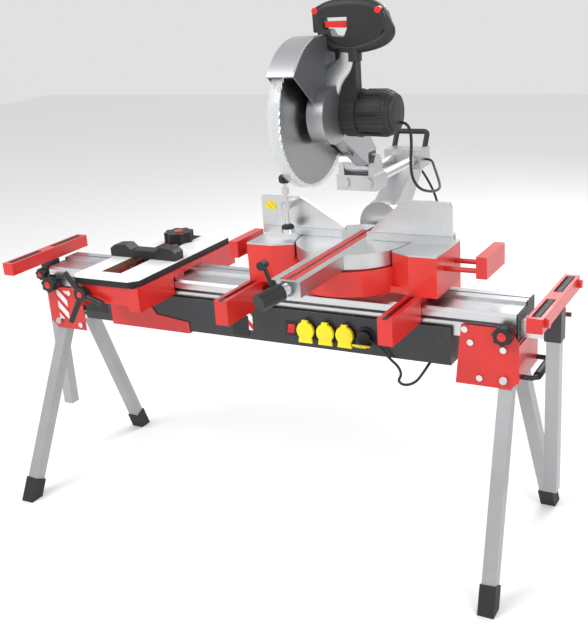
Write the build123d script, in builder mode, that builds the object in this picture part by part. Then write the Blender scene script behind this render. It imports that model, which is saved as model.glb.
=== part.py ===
"""Mitre saw on a folding stand with a router table, built as separate jointed pieces.

Sizes are millimetres.  The origin is on the floor at the centre of the four feet:
X runs along the beam, Y points to the back and Z points up.
"""
import os
from math import atan2, cos, pi, radians, sin, tan

from build123d import *

os.makedirs("parts", exist_ok=True)

# ---------------------------------------------------------------- clearances
SLIDE_GAP = 0.6          # between a sliding piece and its guide, each side
TURN_GAP = 0.4           # between a turning piece and its pin or seat
FACE_GAP = 0.5           # between faces that pass each other

# ---------------------------------------------------------------- stand sizes
BEAM_LENGTH = 1340.0
HALF_BEAM = BEAM_LENGTH / 2
BEAM_FRONT = -53.0
BEAM_BACK = 77.0
BEAM_BOTTOM = 566.0
BEAM_STEP = 629.0        # top of the lower front strip
BEAM_TOP = 636.0         # top of the rear strip
BEAM_STEP_Y = 22.0       # where the rear strip starts
BEAM_WALL = 4.0
CAP_THICK = 4.0

FOOT_X = HALF_BEAM + 2.0
FOOT_Y = 259.0
LEG_TUBE = 32.0
LEG_WALL = 2.0
LEG_OVER = 18.0          # tube above its pivot
PIVOT_X = HALF_BEAM - 23.0
PIVOT_Z = 461.0
FRONT_PIVOT_Y = -37.0
BACK_PIVOT_Y = 62.0
PIVOT_BOLT_R = 5.0
FOOT_SIZE = 38.0
FOOT_HIGH = 60.0

PLATE_THICK = 3.0
# the plates stand clear of the leaning legs at their lower edge
FRONT_LEAN = atan2(FOOT_Y + FRONT_PIVOT_Y, PIVOT_Z)
BACK_LEAN = atan2(FOOT_Y - BACK_PIVOT_Y, PIVOT_Z)
PLATE_ROOM = 0.87
FRONT_PLATE_Y = (FRONT_PIVOT_Y - LEG_TUBE / 2 / cos(FRONT_LEAN) - 7 * tan(FRONT_LEAN)
                 - PLATE_THICK - PLATE_ROOM)    # outer face of the front bracket plates
BACK_PLATE_Y = (BACK_PIVOT_Y + LEG_TUBE / 2 / cos(BACK_LEAN) + 11 * tan(BACK_LEAN)
                + PLATE_THICK + PLATE_ROOM)      # outer face of the back bracket plates
END_PLATE_X = HALF_BEAM + 10.0  # outer face of the end bracket plates

PANEL_LEFT = -545.0
PANEL_RIGHT = 523.0
PANEL_FRONT = -64.0
PANEL_BACK = 11.0
PANEL_LOW = 495.0
PANEL_LIP = 587.0
PANEL_SHEET = 2.0

SOCKET_XS = (154.0, 208.0, 260.0, 311.0)
SOCKET_Z = 541.0
SOCKET_R = 20.0
LID_R = SOCKET_R + 1.5
ROCKER_X = 109.0
ROCKER_Z = 539.0
ROCKER_WIDE = 26.0
ROCKER_HIGH = 32.0

ARM_Y = -11.0            # centre line of the pull-out arms and posts
ARM_WIDE = 38.0
ARM_HIGH = 40.0
ARM_Z = 591.0
ARM_IN = 380.0           # length of arm left inside the beam
POST_TUBE = 30.0
POST_LOW = 193.0
SLEEVE_LOW = 566.0
SLEEVE_TOP = 637.0
SLEEVE_WALL = 3.0
BAR_WIDE = 34.0
BAR_FRONT = -175.0
BAR_BACK = 137.0
BAR_LOW = 638.0
BAR_TOP = 671.0
BAR_WALL = 2.5
ROLLER_R = 11.0
ROLLER_Z = 661.0
ROLLER_LONG = 118.0
ROLLER_YS = (-104.0, 66.0)
RIGHT_BAR_X = HALF_BEAM + 74.0
LEFT_BAR_X = -HALF_BEAM - 32.0

# ---------------------------------------------------------------- helpers


def block(x0, x1, y0, y1, z0, z1, mode=Mode.ADD):
    """A box between three pairs of limits, in the open part."""
    with Locations(((x0 + x1) / 2, (y0 + y1) / 2, (z0 + z1) / 2)):
        Box(abs(x1 - x0), abs(y1 - y0), abs(z1 - z0), mode=mode)


def rod(start, end, radius, mode=Mode.ADD):
    """A round bar from one point to another, in the open part."""
    a = Vector(*start)
    b = Vector(*end)
    with Locations(Plane(origin=(a + b) * 0.5, z_dir=b - a)):
        Cylinder(radius, (b - a).length, mode=mode)


def plane_y(y):
    """Plane across Y: sketch x is X, sketch y is Z; it faces the front."""
    return Plane(origin=(0, y, 0), x_dir=(1, 0, 0), z_dir=(0, -1, 0))


def plane_x(x):
    """Plane across X: sketch x is Y, sketch y is Z; it faces right."""
    return Plane(origin=(x, 0, 0), x_dir=(0, 1, 0), z_dir=(1, 0, 0))


def slab(plane, points, depth, mode=Mode.ADD):
    """A flat outline pushed out from a plane, in the open part."""
    with BuildSketch(plane) as outline:
        Polygon(*points, align=None)
    extrude(outline.sketch, amount=depth, mode=mode)


def save(built, name):
    """Names the finished piece and writes it out."""
    built.part.label = name
    export_step(built.part, "parts/" + name + ".step")
    print(name, len(built.part.solids()), round(built.part.volume / 1000, 1))


def lobed_knob(centre, axis, radius, high, bore, lobes=7):
    """A hand knob with round lobes and a hub, in the open part; bore is blind."""
    base = Plane(origin=centre, z_dir=axis)
    with BuildSketch(base) as outline:
        Circle(radius * 0.86)
        with PolarLocations(radius * 0.78, lobes):
            Circle(radius * 0.22)
    extrude(outline.sketch, amount=high)
    if bore > 0:
        with BuildSketch(base) as hole:
            Circle(bore)
        extrude(hole.sketch, amount=high * 0.7, mode=Mode.SUBTRACT)


# ---------------------------------------------------------------- beam
SLOT_Z = 603.0           # middle of the front bolt slot
SLOT_OPEN = 8.0
SLOT_WIDE = 16.0
ARM_ROOM = SLIDE_GAP
CHAMBER_FRONT = ARM_Y - ARM_WIDE / 2 - ARM_ROOM
CHAMBER_BACK = ARM_Y + ARM_WIDE / 2 + ARM_ROOM
CHAMBER_LOW = ARM_Z - ARM_HIGH / 2 - ARM_ROOM
CHAMBER_TOP = ARM_Z + ARM_HIGH / 2 + ARM_ROOM
LOCK_KNOB_Z = 586.0
LOCK_KNOB_R = 23.0
LOCK_SCREW_R = 4.0
RIGHT_LOCK_X = HALF_BEAM - 23.0
LEFT_LOCK_X = 14.0 - HALF_BEAM

with BuildPart() as beam:
    with BuildSketch(plane_x(-HALF_BEAM)):
        Polygon((BEAM_FRONT, BEAM_BOTTOM), (BEAM_BACK, BEAM_BOTTOM),
                (BEAM_BACK, BEAM_TOP), (BEAM_STEP_Y, BEAM_TOP),
                (BEAM_STEP_Y, BEAM_STEP), (BEAM_FRONT + 6, BEAM_STEP),
                (BEAM_FRONT, BEAM_STEP - 6), align=None)
    extrude(amount=BEAM_LENGTH)
    block(-HALF_BEAM, HALF_BEAM, CHAMBER_FRONT, CHAMBER_BACK, CHAMBER_LOW, CHAMBER_TOP,
          Mode.SUBTRACT)
    block(-HALF_BEAM, HALF_BEAM, CHAMBER_BACK + BEAM_WALL, BEAM_BACK - BEAM_WALL,
          BEAM_BOTTOM + BEAM_WALL, BEAM_STEP - BEAM_WALL, Mode.SUBTRACT)
    block(-HALF_BEAM, HALF_BEAM, CHAMBER_FRONT, CHAMBER_BACK, CHAMBER_TOP + BEAM_WALL,
          BEAM_STEP - BEAM_WALL, Mode.SUBTRACT)
    block(-HALF_BEAM, HALF_BEAM, BEAM_FRONT, BEAM_FRONT + 5,
          SLOT_Z - SLOT_OPEN / 2, SLOT_Z + SLOT_OPEN / 2, Mode.SUBTRACT)
    block(-HALF_BEAM, HALF_BEAM, BEAM_FRONT + 5, BEAM_FRONT + 12,
          SLOT_Z - SLOT_WIDE / 2, SLOT_Z + SLOT_WIDE / 2, Mode.SUBTRACT)
    block(-HALF_BEAM, HALF_BEAM, 46, 54, BEAM_TOP - 4, BEAM_TOP, Mode.SUBTRACT)
    for lock_x in (LEFT_LOCK_X, RIGHT_LOCK_X):
        rod((lock_x, BEAM_FRONT - 1, LOCK_KNOB_Z), (lock_x, CHAMBER_FRONT + 1, LOCK_KNOB_Z),
            LOCK_SCREW_R + TURN_GAP, Mode.SUBTRACT)
save(beam, "beam")


# ---------------------------------------------------------------- socket panel
SOCKET_HOLE_R = SOCKET_R
HINGE_DROP = SOCKET_R + 3.0        # lid hinge below the socket centre
with BuildPart() as panel:
    block(PANEL_LEFT, PANEL_RIGHT, PANEL_FRONT, PANEL_BACK, PANEL_LOW, BEAM_BOTTOM)
    block(PANEL_LEFT + PANEL_SHEET, PANEL_RIGHT - PANEL_SHEET, PANEL_FRONT + PANEL_SHEET,
          PANEL_BACK - PANEL_SHEET, PANEL_LOW + PANEL_SHEET, BEAM_BOTTOM - PANEL_SHEET,
          Mode.SUBTRACT)
    block(PANEL_LEFT, PANEL_RIGHT, PANEL_FRONT, PANEL_FRONT + PANEL_SHEET, BEAM_BOTTOM - 1,
          PANEL_LIP)
    for socket_x in SOCKET_XS:
        rod((socket_x, PANEL_FRONT - 1, SOCKET_Z), (socket_x, PANEL_FRONT + 5, SOCKET_Z),
            SOCKET_HOLE_R, Mode.SUBTRACT)
    block(ROCKER_X - ROCKER_WIDE / 2, ROCKER_X + ROCKER_WIDE / 2, PANEL_FRONT - 1,
          PANEL_FRONT + 5, ROCKER_Z - ROCKER_HIGH / 2, ROCKER_Z + ROCKER_HIGH / 2,
          Mode.SUBTRACT)
save(panel, "socket_panel")

# ---------------------------------------------------------------- sockets, switch, name plate
SOCKET_BODY_R = SOCKET_R - 1.0
SOCKET_DEEP = 34.0
PIN_X = 9.5
PIN_R = 2.6
LID_PIN_R = 1.6
LID_THICK = 5.0
LID_FRONT_GAP = 0.6
RIM_FRONT = PANEL_FRONT - 4.0
HINGE_Z = SOCKET_Z - HINGE_DROP
HINGE_Y = RIM_FRONT - 3.2

frame_w = ROCKER_WIDE / 2
frame_h = ROCKER_HIGH / 2
with BuildPart() as fittings:
    for side in (-1, 1):
        inner = side * HALF_BEAM
        outer = side * (HALF_BEAM + CAP_THICK)
        slab(plane_x(min(inner, outer)),
             ((BEAM_FRONT, BEAM_BOTTOM), (BEAM_BACK, BEAM_BOTTOM), (BEAM_BACK, BEAM_TOP),
              (BEAM_STEP_Y, BEAM_TOP), (BEAM_STEP_Y, BEAM_STEP), (BEAM_FRONT + 6, BEAM_STEP),
              (BEAM_FRONT, BEAM_STEP - 6)), CAP_THICK)
    block(-HALF_BEAM - 30, HALF_BEAM + 30, CHAMBER_FRONT - 0.5, CHAMBER_BACK + 0.5,
          CHAMBER_LOW - 0.5,
          CHAMBER_TOP + 0.5, Mode.SUBTRACT)
    block(ROCKER_X - frame_w - 2, ROCKER_X + frame_w + 2, PANEL_FRONT - 2, PANEL_FRONT,
          ROCKER_Z - frame_h - 2, ROCKER_Z + frame_h + 2)
    block(ROCKER_X - frame_w + 0.3, ROCKER_X + frame_w - 0.3, PANEL_FRONT, PANEL_FRONT + 22,
          ROCKER_Z - frame_h + 0.3, ROCKER_Z + frame_h - 0.3)
    block(ROCKER_X - frame_w + 3, ROCKER_X + frame_w - 3, PANEL_FRONT - 3, PANEL_FRONT + 15,
          ROCKER_Z - frame_h + 3, ROCKER_Z + frame_h - 3, Mode.SUBTRACT)
    rod((ROCKER_X - frame_w + 1, PANEL_FRONT + 3, ROCKER_Z),
        (ROCKER_X + frame_w - 1, PANEL_FRONT + 3, ROCKER_Z), 1.5 + 0.2, Mode.SUBTRACT)
    block(-62, -14, PANEL_FRONT - 1.5, PANEL_FRONT, 503, 558)
    block(PANEL_LEFT + 3, -469, PANEL_FRONT - 1.0, PANEL_FRONT, 517, 559)
    for socket_x in SOCKET_XS:
        rod((socket_x, RIM_FRONT, SOCKET_Z), (socket_x, PANEL_FRONT, SOCKET_Z), LID_R + 2.5)
        block(socket_x - 9, socket_x + 9, RIM_FRONT, PANEL_FRONT, HINGE_Z - 4, SOCKET_Z)
        rod((socket_x, PANEL_FRONT, SOCKET_Z), (socket_x, PANEL_FRONT + SOCKET_DEEP, SOCKET_Z),
            SOCKET_BODY_R)
        rod((socket_x, RIM_FRONT - 1, SOCKET_Z),
            (socket_x, PANEL_FRONT + SOCKET_DEEP - 8, SOCKET_Z), 17.5, Mode.SUBTRACT)
        for ear in (-1, 1):
            block(socket_x + ear * 7.5 - 1.5, socket_x + ear * 7.5 + 1.5, HINGE_Y - 2.6,
                  RIM_FRONT, HINGE_Z - 2.6, HINGE_Z + 2.6)
            rod((socket_x + ear * 5, HINGE_Y, HINGE_Z), (socket_x + ear * 10, HINGE_Y, HINGE_Z),
                LID_PIN_R + 0.25, Mode.SUBTRACT)
        for pin in (-1, 1):
            rod((socket_x + pin * PIN_X, PANEL_FRONT + SOCKET_DEEP - 9, SOCKET_Z),
                (socket_x + pin * PIN_X, PANEL_FRONT + SOCKET_DEEP - 2, SOCKET_Z), PIN_R,
                Mode.SUBTRACT)

save(fittings, "stand_fittings")

LID_UP = LID_FRONT_GAP + 0.2


def socket_lid(socket_x, name):
    """A round lid with a lift tab on top and its hinge pin below."""
    with BuildPart() as lid:
        rod((socket_x, RIM_FRONT - LID_UP - LID_THICK, SOCKET_Z),
            (socket_x, RIM_FRONT - LID_UP, SOCKET_Z), LID_R)
        block(socket_x - 7, socket_x + 7, RIM_FRONT - LID_UP - LID_THICK, RIM_FRONT - LID_UP,
              SOCKET_Z, SOCKET_Z + LID_R + 4)
        rod((socket_x, RIM_FRONT - LID_UP - 7, SOCKET_Z + 2),
            (socket_x, RIM_FRONT - LID_UP, SOCKET_Z + 2), 13)
        block(socket_x - 5.6, socket_x + 5.6, HINGE_Y - 2.2, HINGE_Y + 2.2, HINGE_Z - 2.2,
              SOCKET_Z - 12)
        block(socket_x - 20, socket_x + 20, RIM_FRONT - 12, RIM_FRONT + 1, HINGE_Z - 8,
              HINGE_Z + 4.6, Mode.SUBTRACT)
        block(socket_x - 5.6, socket_x + 5.6, HINGE_Y - 2.2, HINGE_Y + 2.2, HINGE_Z - 2.2,
              HINGE_Z + 8)
        rod((socket_x - 8.8, HINGE_Y, HINGE_Z), (socket_x + 8.8, HINGE_Y, HINGE_Z), LID_PIN_R)
    return lid


OPEN_LID_ANGLE = 68.0
for number, socket_x in enumerate(SOCKET_XS, start=1):
    name = "socket_lid_" + str(number)
    lid = socket_lid(socket_x, name)
    if number < 4:
        save(lid, name)
    else:
        hinge = Axis((socket_x, HINGE_Y, HINGE_Z), (1, 0, 0))
        open_lid = lid.part.rotate(hinge, OPEN_LID_ANGLE)
        open_lid.label = name
        export_step(open_lid, "parts/" + name + ".step")
        print(name, len(open_lid.solids()), round(open_lid.volume / 1000, 1))


with BuildPart() as rocker:
    slab(plane_x(ROCKER_X - frame_w + 3.5),
         ((PANEL_FRONT + 6, ROCKER_Z - 8), (PANEL_FRONT + 6, ROCKER_Z + 8),
          (PANEL_FRONT - 1.5, ROCKER_Z + 11), (PANEL_FRONT - 1.0, ROCKER_Z),
          (PANEL_FRONT - 5.0, ROCKER_Z - 11)), ROCKER_WIDE - 7)
    rod((ROCKER_X - frame_w + 1.4, PANEL_FRONT + 3, ROCKER_Z),
        (ROCKER_X + frame_w - 1.4, PANEL_FRONT + 3, ROCKER_Z), 1.5)
save(rocker, "switch_rocker")


# ---------------------------------------------------------------- folding legs


def unit(x, y, z):
    """Vector of length one along the given direction."""
    return Vector(x, y, z).normalized()


def leg_frame(side_x, side_y):
    """Pivot point, direction down the leg, fold axis and leg length."""
    pivot_y = FRONT_PIVOT_Y if side_y < 0 else BACK_PIVOT_Y
    pivot = Vector(side_x * PIVOT_X, pivot_y, PIVOT_Z)
    foot = Vector(side_x * FOOT_X, side_y * FOOT_Y, 0)
    down = (foot - pivot).normalized()
    flat = unit(0, foot.Y - pivot.Y, foot.Z - pivot.Z)
    fold = Vector(0, -flat.Z, flat.Y) * (1 if side_y > 0 else -1)
    return pivot, down, fold, (foot - pivot).length


def along(frame, size, start, end):
    """A square bar on the leg line between two distances from the pivot."""
    pivot, down, fold, length = frame
    middle = pivot + down * ((start + end) / 2)
    return Plane(origin=middle, x_dir=fold, z_dir=down) * Box(size, size, end - start)


BELOW = Pos(0, 0, -100) * Box(2000, 1000, 200)
SOLE = 3.0
LEG_NAMES = {(-1, -1): "front_left", (1, -1): "front_right",
             (-1, 1): "back_left", (1, 1): "back_right"}
for (side_x, side_y), place in LEG_NAMES.items():
    frame = leg_frame(side_x, side_y)
    pivot, down, fold, length = frame
    above_sole = Pos(0, 0, SOLE) * BELOW
    tube = along(frame, LEG_TUBE, -LEG_OVER, length + 40)
    tube = tube - along(frame, LEG_TUBE - 2 * LEG_WALL, -LEG_OVER - 1, length + 41)
    tube = tube - above_sole
    bolt_way = Plane(origin=pivot, z_dir=fold) * Cylinder(PIVOT_BOLT_R + TURN_GAP, 60)
    tube = tube - bolt_way
    tube.label = "leg_" + place
    export_step(tube, "parts/leg_" + place + ".step")
    print(tube.label, len(tube.solids()), round(tube.volume / 1000, 1))
    pocket = along(frame, LEG_TUBE, length - FOOT_HIGH - 1, length + 60) - above_sole
    shoe = along(frame, FOOT_SIZE, length - FOOT_HIGH, length + 60) - BELOW - pocket
    shoe.label = "foot_" + place
    export_step(shoe, "parts/foot_" + place + ".step")
    print(shoe.label, len(shoe.solids()), round(shoe.volume / 1000, 1))

BOLT_HEAD_R = 9.0
HEAD_FROM = FRONT_PIVOT_Y - FRONT_PLATE_Y + 7.4
HEAD_TO = HEAD_FROM + 6.2
NUT_FROM = LEG_TUBE / 2 + TURN_GAP
NUT_TO = NUT_FROM + 6
# side, distance past the beam's end, height
BOLT_SPOTS = ((1, -114, 588), (1, -101, 558), (1, -25, 548), (1, -80, 474), (-1, -98, 470),
              (-1, -70, 562))
with BuildPart() as pivot_bolts:
    for side_x, side_y in LEG_NAMES:
        pivot, down, fold, length = leg_frame(side_x, side_y)
        outward = fold if fold.Y * side_y > 0 else fold * -1
        rod(pivot - outward * NUT_TO, pivot + outward * HEAD_TO, PIVOT_BOLT_R)
        rod(pivot + outward * HEAD_FROM, pivot + outward * HEAD_TO, BOLT_HEAD_R)
        rod(pivot - outward * NUT_TO, pivot - outward * NUT_FROM, BOLT_HEAD_R)
    for side, past, bolt_z in BOLT_SPOTS:
        bolt_x = side * (HALF_BEAM + past)
        with Locations(Plane(origin=(bolt_x, FRONT_PLATE_Y - 2.5, bolt_z), z_dir=(0, -1, 0))):
            Cylinder(7.5, 5)
save(pivot_bolts, "stand_bolts")

# ---------------------------------------------------------------- end brackets
# outlines of the plates: distance past the beam's end, height
RIGHT_FRONT = ((-138, 454), (-10, 454), (10, 474), (10, 562), (-8, 598), (-123, 598))
LEFT_FRONT = ((-113, 454), (-10, 454), (10, 474), (10, 548), (-6, 569), (-20, 575),
              (-98, 575), (-113, 562))
BACK_OUTLINE = ((-110, 450), (-10, 450), (10, 470), (10, 562), (-110, 562))
SHELF_IN = 100.0         # reach of the folded shelf under the beam
SIDE_TOP = 560.0


def at_end(side, outline):
    """The outline placed at one end of the beam."""
    return tuple((side * (HALF_BEAM + past), height) for past, height in outline)


def end_bracket(side, front):
    """Folded plate under a beam end: front, end and back faces."""
    with BuildPart() as bracket:
        slab(plane_y(FRONT_PLATE_Y + PLATE_THICK), at_end(side, front), PLATE_THICK)
        slab(plane_y(BACK_PLATE_Y), at_end(side, BACK_OUTLINE), PLATE_THICK)
        block(side * (END_PLATE_X - PLATE_THICK), side * END_PLATE_X, FRONT_PLATE_Y,
              BACK_PLATE_Y, 470, SIDE_TOP)
        block(side * (HALF_BEAM - SHELF_IN), side * (END_PLATE_X - PLATE_THICK), FRONT_PLATE_Y + PLATE_THICK,
              BACK_PLATE_Y - PLATE_THICK, BEAM_BOTTOM - PLATE_THICK, BEAM_BOTTOM)
        for side_y in (-1, 1):
            pivot, down, fold, length = leg_frame(side, side_y)
            rod(pivot - fold * 60, pivot + fold * 60, PIVOT_BOLT_R + 0.5, Mode.SUBTRACT)
        lock_x = RIGHT_LOCK_X if side > 0 else LEFT_LOCK_X
        rod((lock_x, FRONT_PLATE_Y - 1, LOCK_KNOB_Z), (lock_x, BEAM_FRONT - 1, LOCK_KNOB_Z),
            LOCK_SCREW_R + 1, Mode.SUBTRACT)
    return bracket


save(end_bracket(1, RIGHT_FRONT), "end_bracket_right")
save(end_bracket(-1, LEFT_FRONT), "end_bracket_left")


with BuildPart() as angle_bracket:
    slab(plane_y(PANEL_FRONT),
         ((-452, 492), (-198, 492), (-198, 520), (-300, 532), (-330, 576), (-452, 576)), 3)
    block(-452, -198, PANEL_FRONT, -30, 489, 492)
    block(-452, -198, PANEL_FRONT - 3, PANEL_FRONT, 489, 492)
save(angle_bracket, "angle_bracket")

# ---------------------------------------------------------------- carry handle
GRIP_X = END_PLATE_X + 32.0
GRIP_Z = 482.0
HANDLE_R = 6.0
GRIP_R = 10.0


def bent_rod(points, bend, radius, mode=Mode.ADD):
    """A round rod along straight runs with rounded corners."""
    with BuildLine() as path:
        FilletPolyline(*points, radius=bend)
    start = Vector(*points[0])
    heading = Vector(*points[1]) - start
    with BuildSketch(Plane(origin=start, z_dir=heading)) as ring:
        Circle(radius)
    sweep(sections=ring.sketch, path=path.line, mode=mode)


with BuildPart() as carry_handle:
    bent_rod(((END_PLATE_X, -46, GRIP_Z), (GRIP_X, -46, GRIP_Z), (GRIP_X, 82, GRIP_Z),
              (END_PLATE_X, 82, GRIP_Z)), 14, HANDLE_R)
    rod((GRIP_X, -28, GRIP_Z), (GRIP_X, 64, GRIP_Z), GRIP_R)
save(carry_handle, "carry_handle")

# ---------------------------------------------------------------- lock knobs of the arms
KNOB_BACK_Y = FRONT_PLATE_Y - 5.0
KNOB_HIGH = 17.0
for lock_x, name in ((LEFT_LOCK_X, "arm_lock_left"), (RIGHT_LOCK_X, "arm_lock_right")):
    with BuildPart() as lock:
        lobed_knob((lock_x, KNOB_BACK_Y, LOCK_KNOB_Z), (0, -1, 0), LOCK_KNOB_R, KNOB_HIGH, 0)
        rod((lock_x, KNOB_BACK_Y, LOCK_KNOB_Z), (lock_x, CHAMBER_FRONT - 0.1, LOCK_KNOB_Z),
            LOCK_SCREW_R)
    save(lock, name)

# ---------------------------------------------------------------- pull-out arms and sleeves
POST_HALF = POST_TUBE / 2
SLEEVE_IN = POST_HALF + SLIDE_GAP
SLEEVE_OUT = SLEEVE_IN + SLEEVE_WALL
SLEEVE_SCREW_R = 4.0
SLEEVE_SCREW_Z = 605.0


def pull_arm(side, bar_x):
    """Aluminium tube that runs in the beam's front chamber, with the post guide."""
    inner = side * (HALF_BEAM - ARM_IN)
    outer = bar_x - side * SLEEVE_OUT
    with BuildPart() as arm:
        block(inner, outer, ARM_Y - ARM_WIDE / 2, ARM_Y + ARM_WIDE / 2, ARM_Z - ARM_HIGH / 2,
              ARM_Z + ARM_HIGH / 2)
        block(inner, outer, ARM_Y - ARM_WIDE / 2 + 3, ARM_Y + ARM_WIDE / 2 - 3,
              ARM_Z - ARM_HIGH / 2 + 3, ARM_Z + ARM_HIGH / 2 - 3, Mode.SUBTRACT)
        block(bar_x - SLEEVE_OUT, bar_x + SLEEVE_OUT, ARM_Y - SLEEVE_OUT, ARM_Y + SLEEVE_OUT,
              SLEEVE_LOW, SLEEVE_TOP)
        block(bar_x - SLEEVE_IN, bar_x + SLEEVE_IN, ARM_Y - SLEEVE_IN, ARM_Y + SLEEVE_IN,
              SLEEVE_LOW - 1, SLEEVE_TOP + 1, Mode.SUBTRACT)
        wall_y = ARM_Y + side * (SLEEVE_IN + SLEEVE_OUT) / 2
        rod((bar_x, wall_y - 6, SLEEVE_SCREW_Z), (bar_x, wall_y + 6, SLEEVE_SCREW_Z),
            SLEEVE_SCREW_R + TURN_GAP, Mode.SUBTRACT)
    return arm


save(pull_arm(1, RIGHT_BAR_X), "pull_arm_right")
save(pull_arm(-1, LEFT_BAR_X), "pull_arm_left")

with BuildPart() as post_lock_right:
    rod((RIGHT_BAR_X, ARM_Y + SLEEVE_IN + 0.2, SLEEVE_SCREW_Z), (RIGHT_BAR_X, 54, SLEEVE_SCREW_Z),
        SLEEVE_SCREW_R)
    rod((RIGHT_BAR_X - 22, 50, SLEEVE_SCREW_Z), (RIGHT_BAR_X + 22, 50, SLEEVE_SCREW_Z), 6)
    rod((RIGHT_BAR_X, 40, SLEEVE_SCREW_Z), (RIGHT_BAR_X, 58, SLEEVE_SCREW_Z), 8)
save(post_lock_right, "post_lock_right")
with BuildPart() as post_lock_left:
    rod((LEFT_BAR_X, ARM_Y - SLEEVE_IN - 0.2, SLEEVE_SCREW_Z), (LEFT_BAR_X, -46, SLEEVE_SCREW_Z),
        SLEEVE_SCREW_R)
    lobed_knob((LEFT_BAR_X, -44, SLEEVE_SCREW_Z), (0, -1, 0), 17, 15, 0)
save(post_lock_left, "post_lock_left")

# ---------------------------------------------------------------- roller supports
BAR_SCREW_YS = (-150.0, 124.0)
BAR_SCREW_Z = 655.0
AXLE_R = 3.0
ROLLER_HALF = ROLLER_LONG / 2


def roller_support(bar_x, side):
    """Square post and box rail with roller slots on top and cross plates for the axles."""
    half = BAR_WIDE / 2
    room = half - BAR_WALL
    with BuildPart() as rail:
        block(bar_x - half, bar_x + half, BAR_FRONT, BAR_BACK, BAR_LOW, BAR_TOP)
        block(bar_x - room, bar_x + room, BAR_FRONT + BAR_WALL, BAR_BACK - BAR_WALL,
              BAR_LOW + BAR_WALL, BAR_TOP - BAR_WALL, Mode.SUBTRACT)
        for middle in ROLLER_YS:
            block(bar_x - 10, bar_x + 10, middle - ROLLER_HALF - 0.5,
                  middle + ROLLER_HALF + 0.5, BAR_TOP - BAR_WALL, BAR_TOP, Mode.SUBTRACT)
            for end in (-1, 1):
                near = middle + end * (ROLLER_HALF + FACE_GAP)
                far = near + end * 3
                block(bar_x - room, bar_x + room, near, far, BAR_LOW + BAR_WALL,
                      BAR_TOP - BAR_WALL)
                rod((bar_x, near - end, ROLLER_Z), (bar_x, far + end, ROLLER_Z),
                    AXLE_R + TURN_GAP, Mode.SUBTRACT)
        block(bar_x - POST_HALF, bar_x + POST_HALF, ARM_Y - POST_HALF, ARM_Y + POST_HALF,
              POST_LOW, BAR_LOW)
        block(bar_x - POST_HALF + 2, bar_x + POST_HALF - 2, ARM_Y - POST_HALF + 2,
              ARM_Y + POST_HALF - 2, POST_LOW - 1, BAR_LOW, Mode.SUBTRACT)
        for screw_y in BAR_SCREW_YS:
            rod((bar_x + side * half, screw_y, BAR_SCREW_Z),
                (bar_x + side * (half + 9), screw_y, BAR_SCREW_Z), 10)
    return rail


for side, bar_x, hand in ((1, RIGHT_BAR_X, "right"), (-1, LEFT_BAR_X, "left")):
    save(roller_support(bar_x, side), "roller_support_" + hand)
    for middle, which in zip(ROLLER_YS, ("front", "back")):
        with BuildPart() as roller:
            rod((bar_x, middle - ROLLER_HALF, ROLLER_Z), (bar_x, middle + ROLLER_HALF, ROLLER_Z),
                ROLLER_R)
            rod((bar_x, middle - ROLLER_HALF - 3.5, ROLLER_Z),
                (bar_x, middle + ROLLER_HALF + 3.5, ROLLER_Z), AXLE_R)
        save(roller, "roller_" + hand + "_" + which)

# ---------------------------------------------------------------- mounting bars
BAR_TUBE = 35.0          # width of a red mounting bar
BAR_SHEET = 3.0
MOUNT_TOP = 652.0
MOUNT_LOW = 590.0
NOTCH_GAP = 2.4
PAD_GAP = 0.5


def mounting_bar(x, front, back):
    """Red channel that straddles the beam, open below, slotted on top."""
    left = x - BAR_TUBE / 2
    right = x + BAR_TUBE / 2
    under = BEAM_TOP + 1
    block(left, right, front, back, MOUNT_LOW, MOUNT_TOP)
    block(left + BAR_SHEET, right - BAR_SHEET, front + BAR_SHEET, back - BAR_SHEET,
          MOUNT_LOW - 1, MOUNT_TOP - BAR_SHEET, Mode.SUBTRACT)
    block(left - 1, right + 1, BEAM_FRONT - NOTCH_GAP, BEAM_BACK + NOTCH_GAP, MOUNT_LOW - 1,
          under, Mode.SUBTRACT)
    block(x - 5, x + 5, front + 22, BEAM_FRONT - 20, MOUNT_TOP - BAR_SHEET - 1, MOUNT_TOP + 1,
          Mode.SUBTRACT)


def clamp_pads(x):
    """Black pads between a mounting bar and the beam."""
    half = BAR_TUBE / 2 - BAR_SHEET
    top = MOUNT_TOP - BAR_SHEET
    block(x - half, x + half, BEAM_FRONT - 18, BEAM_FRONT - PAD_GAP, MOUNT_LOW + 2, top)
    block(x - half, x + half, BEAM_BACK + PAD_GAP, BEAM_BACK + 18, MOUNT_LOW + 2, top)
    block(x - half, x + half, BEAM_FRONT + 10, BEAM_FRONT + 50, BEAM_STEP + 0.2, top)
    block(x - half, x + half, BEAM_STEP_Y + 6, BEAM_STEP_Y + 46, BEAM_TOP + 0.2, top)


# ---------------------------------------------------------------- router table
ROUTER_XS = (-436.0, -257.0)
ROUTER_FRONT = -212.0
ROUTER_BACK = 250.0
BOARD_LEFT = -455.0
BOARD_RIGHT = -245.0
BOARD_TOP = 664.0
PLATE_TOP = 668.0
SLOT_LEFT = -397.0
SLOT_RIGHT = -334.0
SLOT_FRONT = -150.0
SLOT_BACK = 225.0
CORNER = 22.0
HUB_X = -407.0
HUB_Z = 629.0
HUB_Y = ROUTER_FRONT - 3.0

with BuildPart() as router_bars:
    for bar_x in ROUTER_XS:
        mounting_bar(bar_x, ROUTER_FRONT + 4, ROUTER_BACK - 6)
    block(ROUTER_XS[0] + BAR_TUBE / 2, ROUTER_XS[1] - BAR_TUBE / 2, ROUTER_FRONT + 4,
          ROUTER_FRONT + 8, 604, MOUNT_TOP)
    rod((HUB_X, ROUTER_FRONT, HUB_Z), (HUB_X, ROUTER_FRONT + 12, HUB_Z), 5 + TURN_GAP,
        Mode.SUBTRACT)
    for bar_x in ROUTER_XS:
        clamp_pads(bar_x)
save(router_bars, "router_bars")

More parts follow.
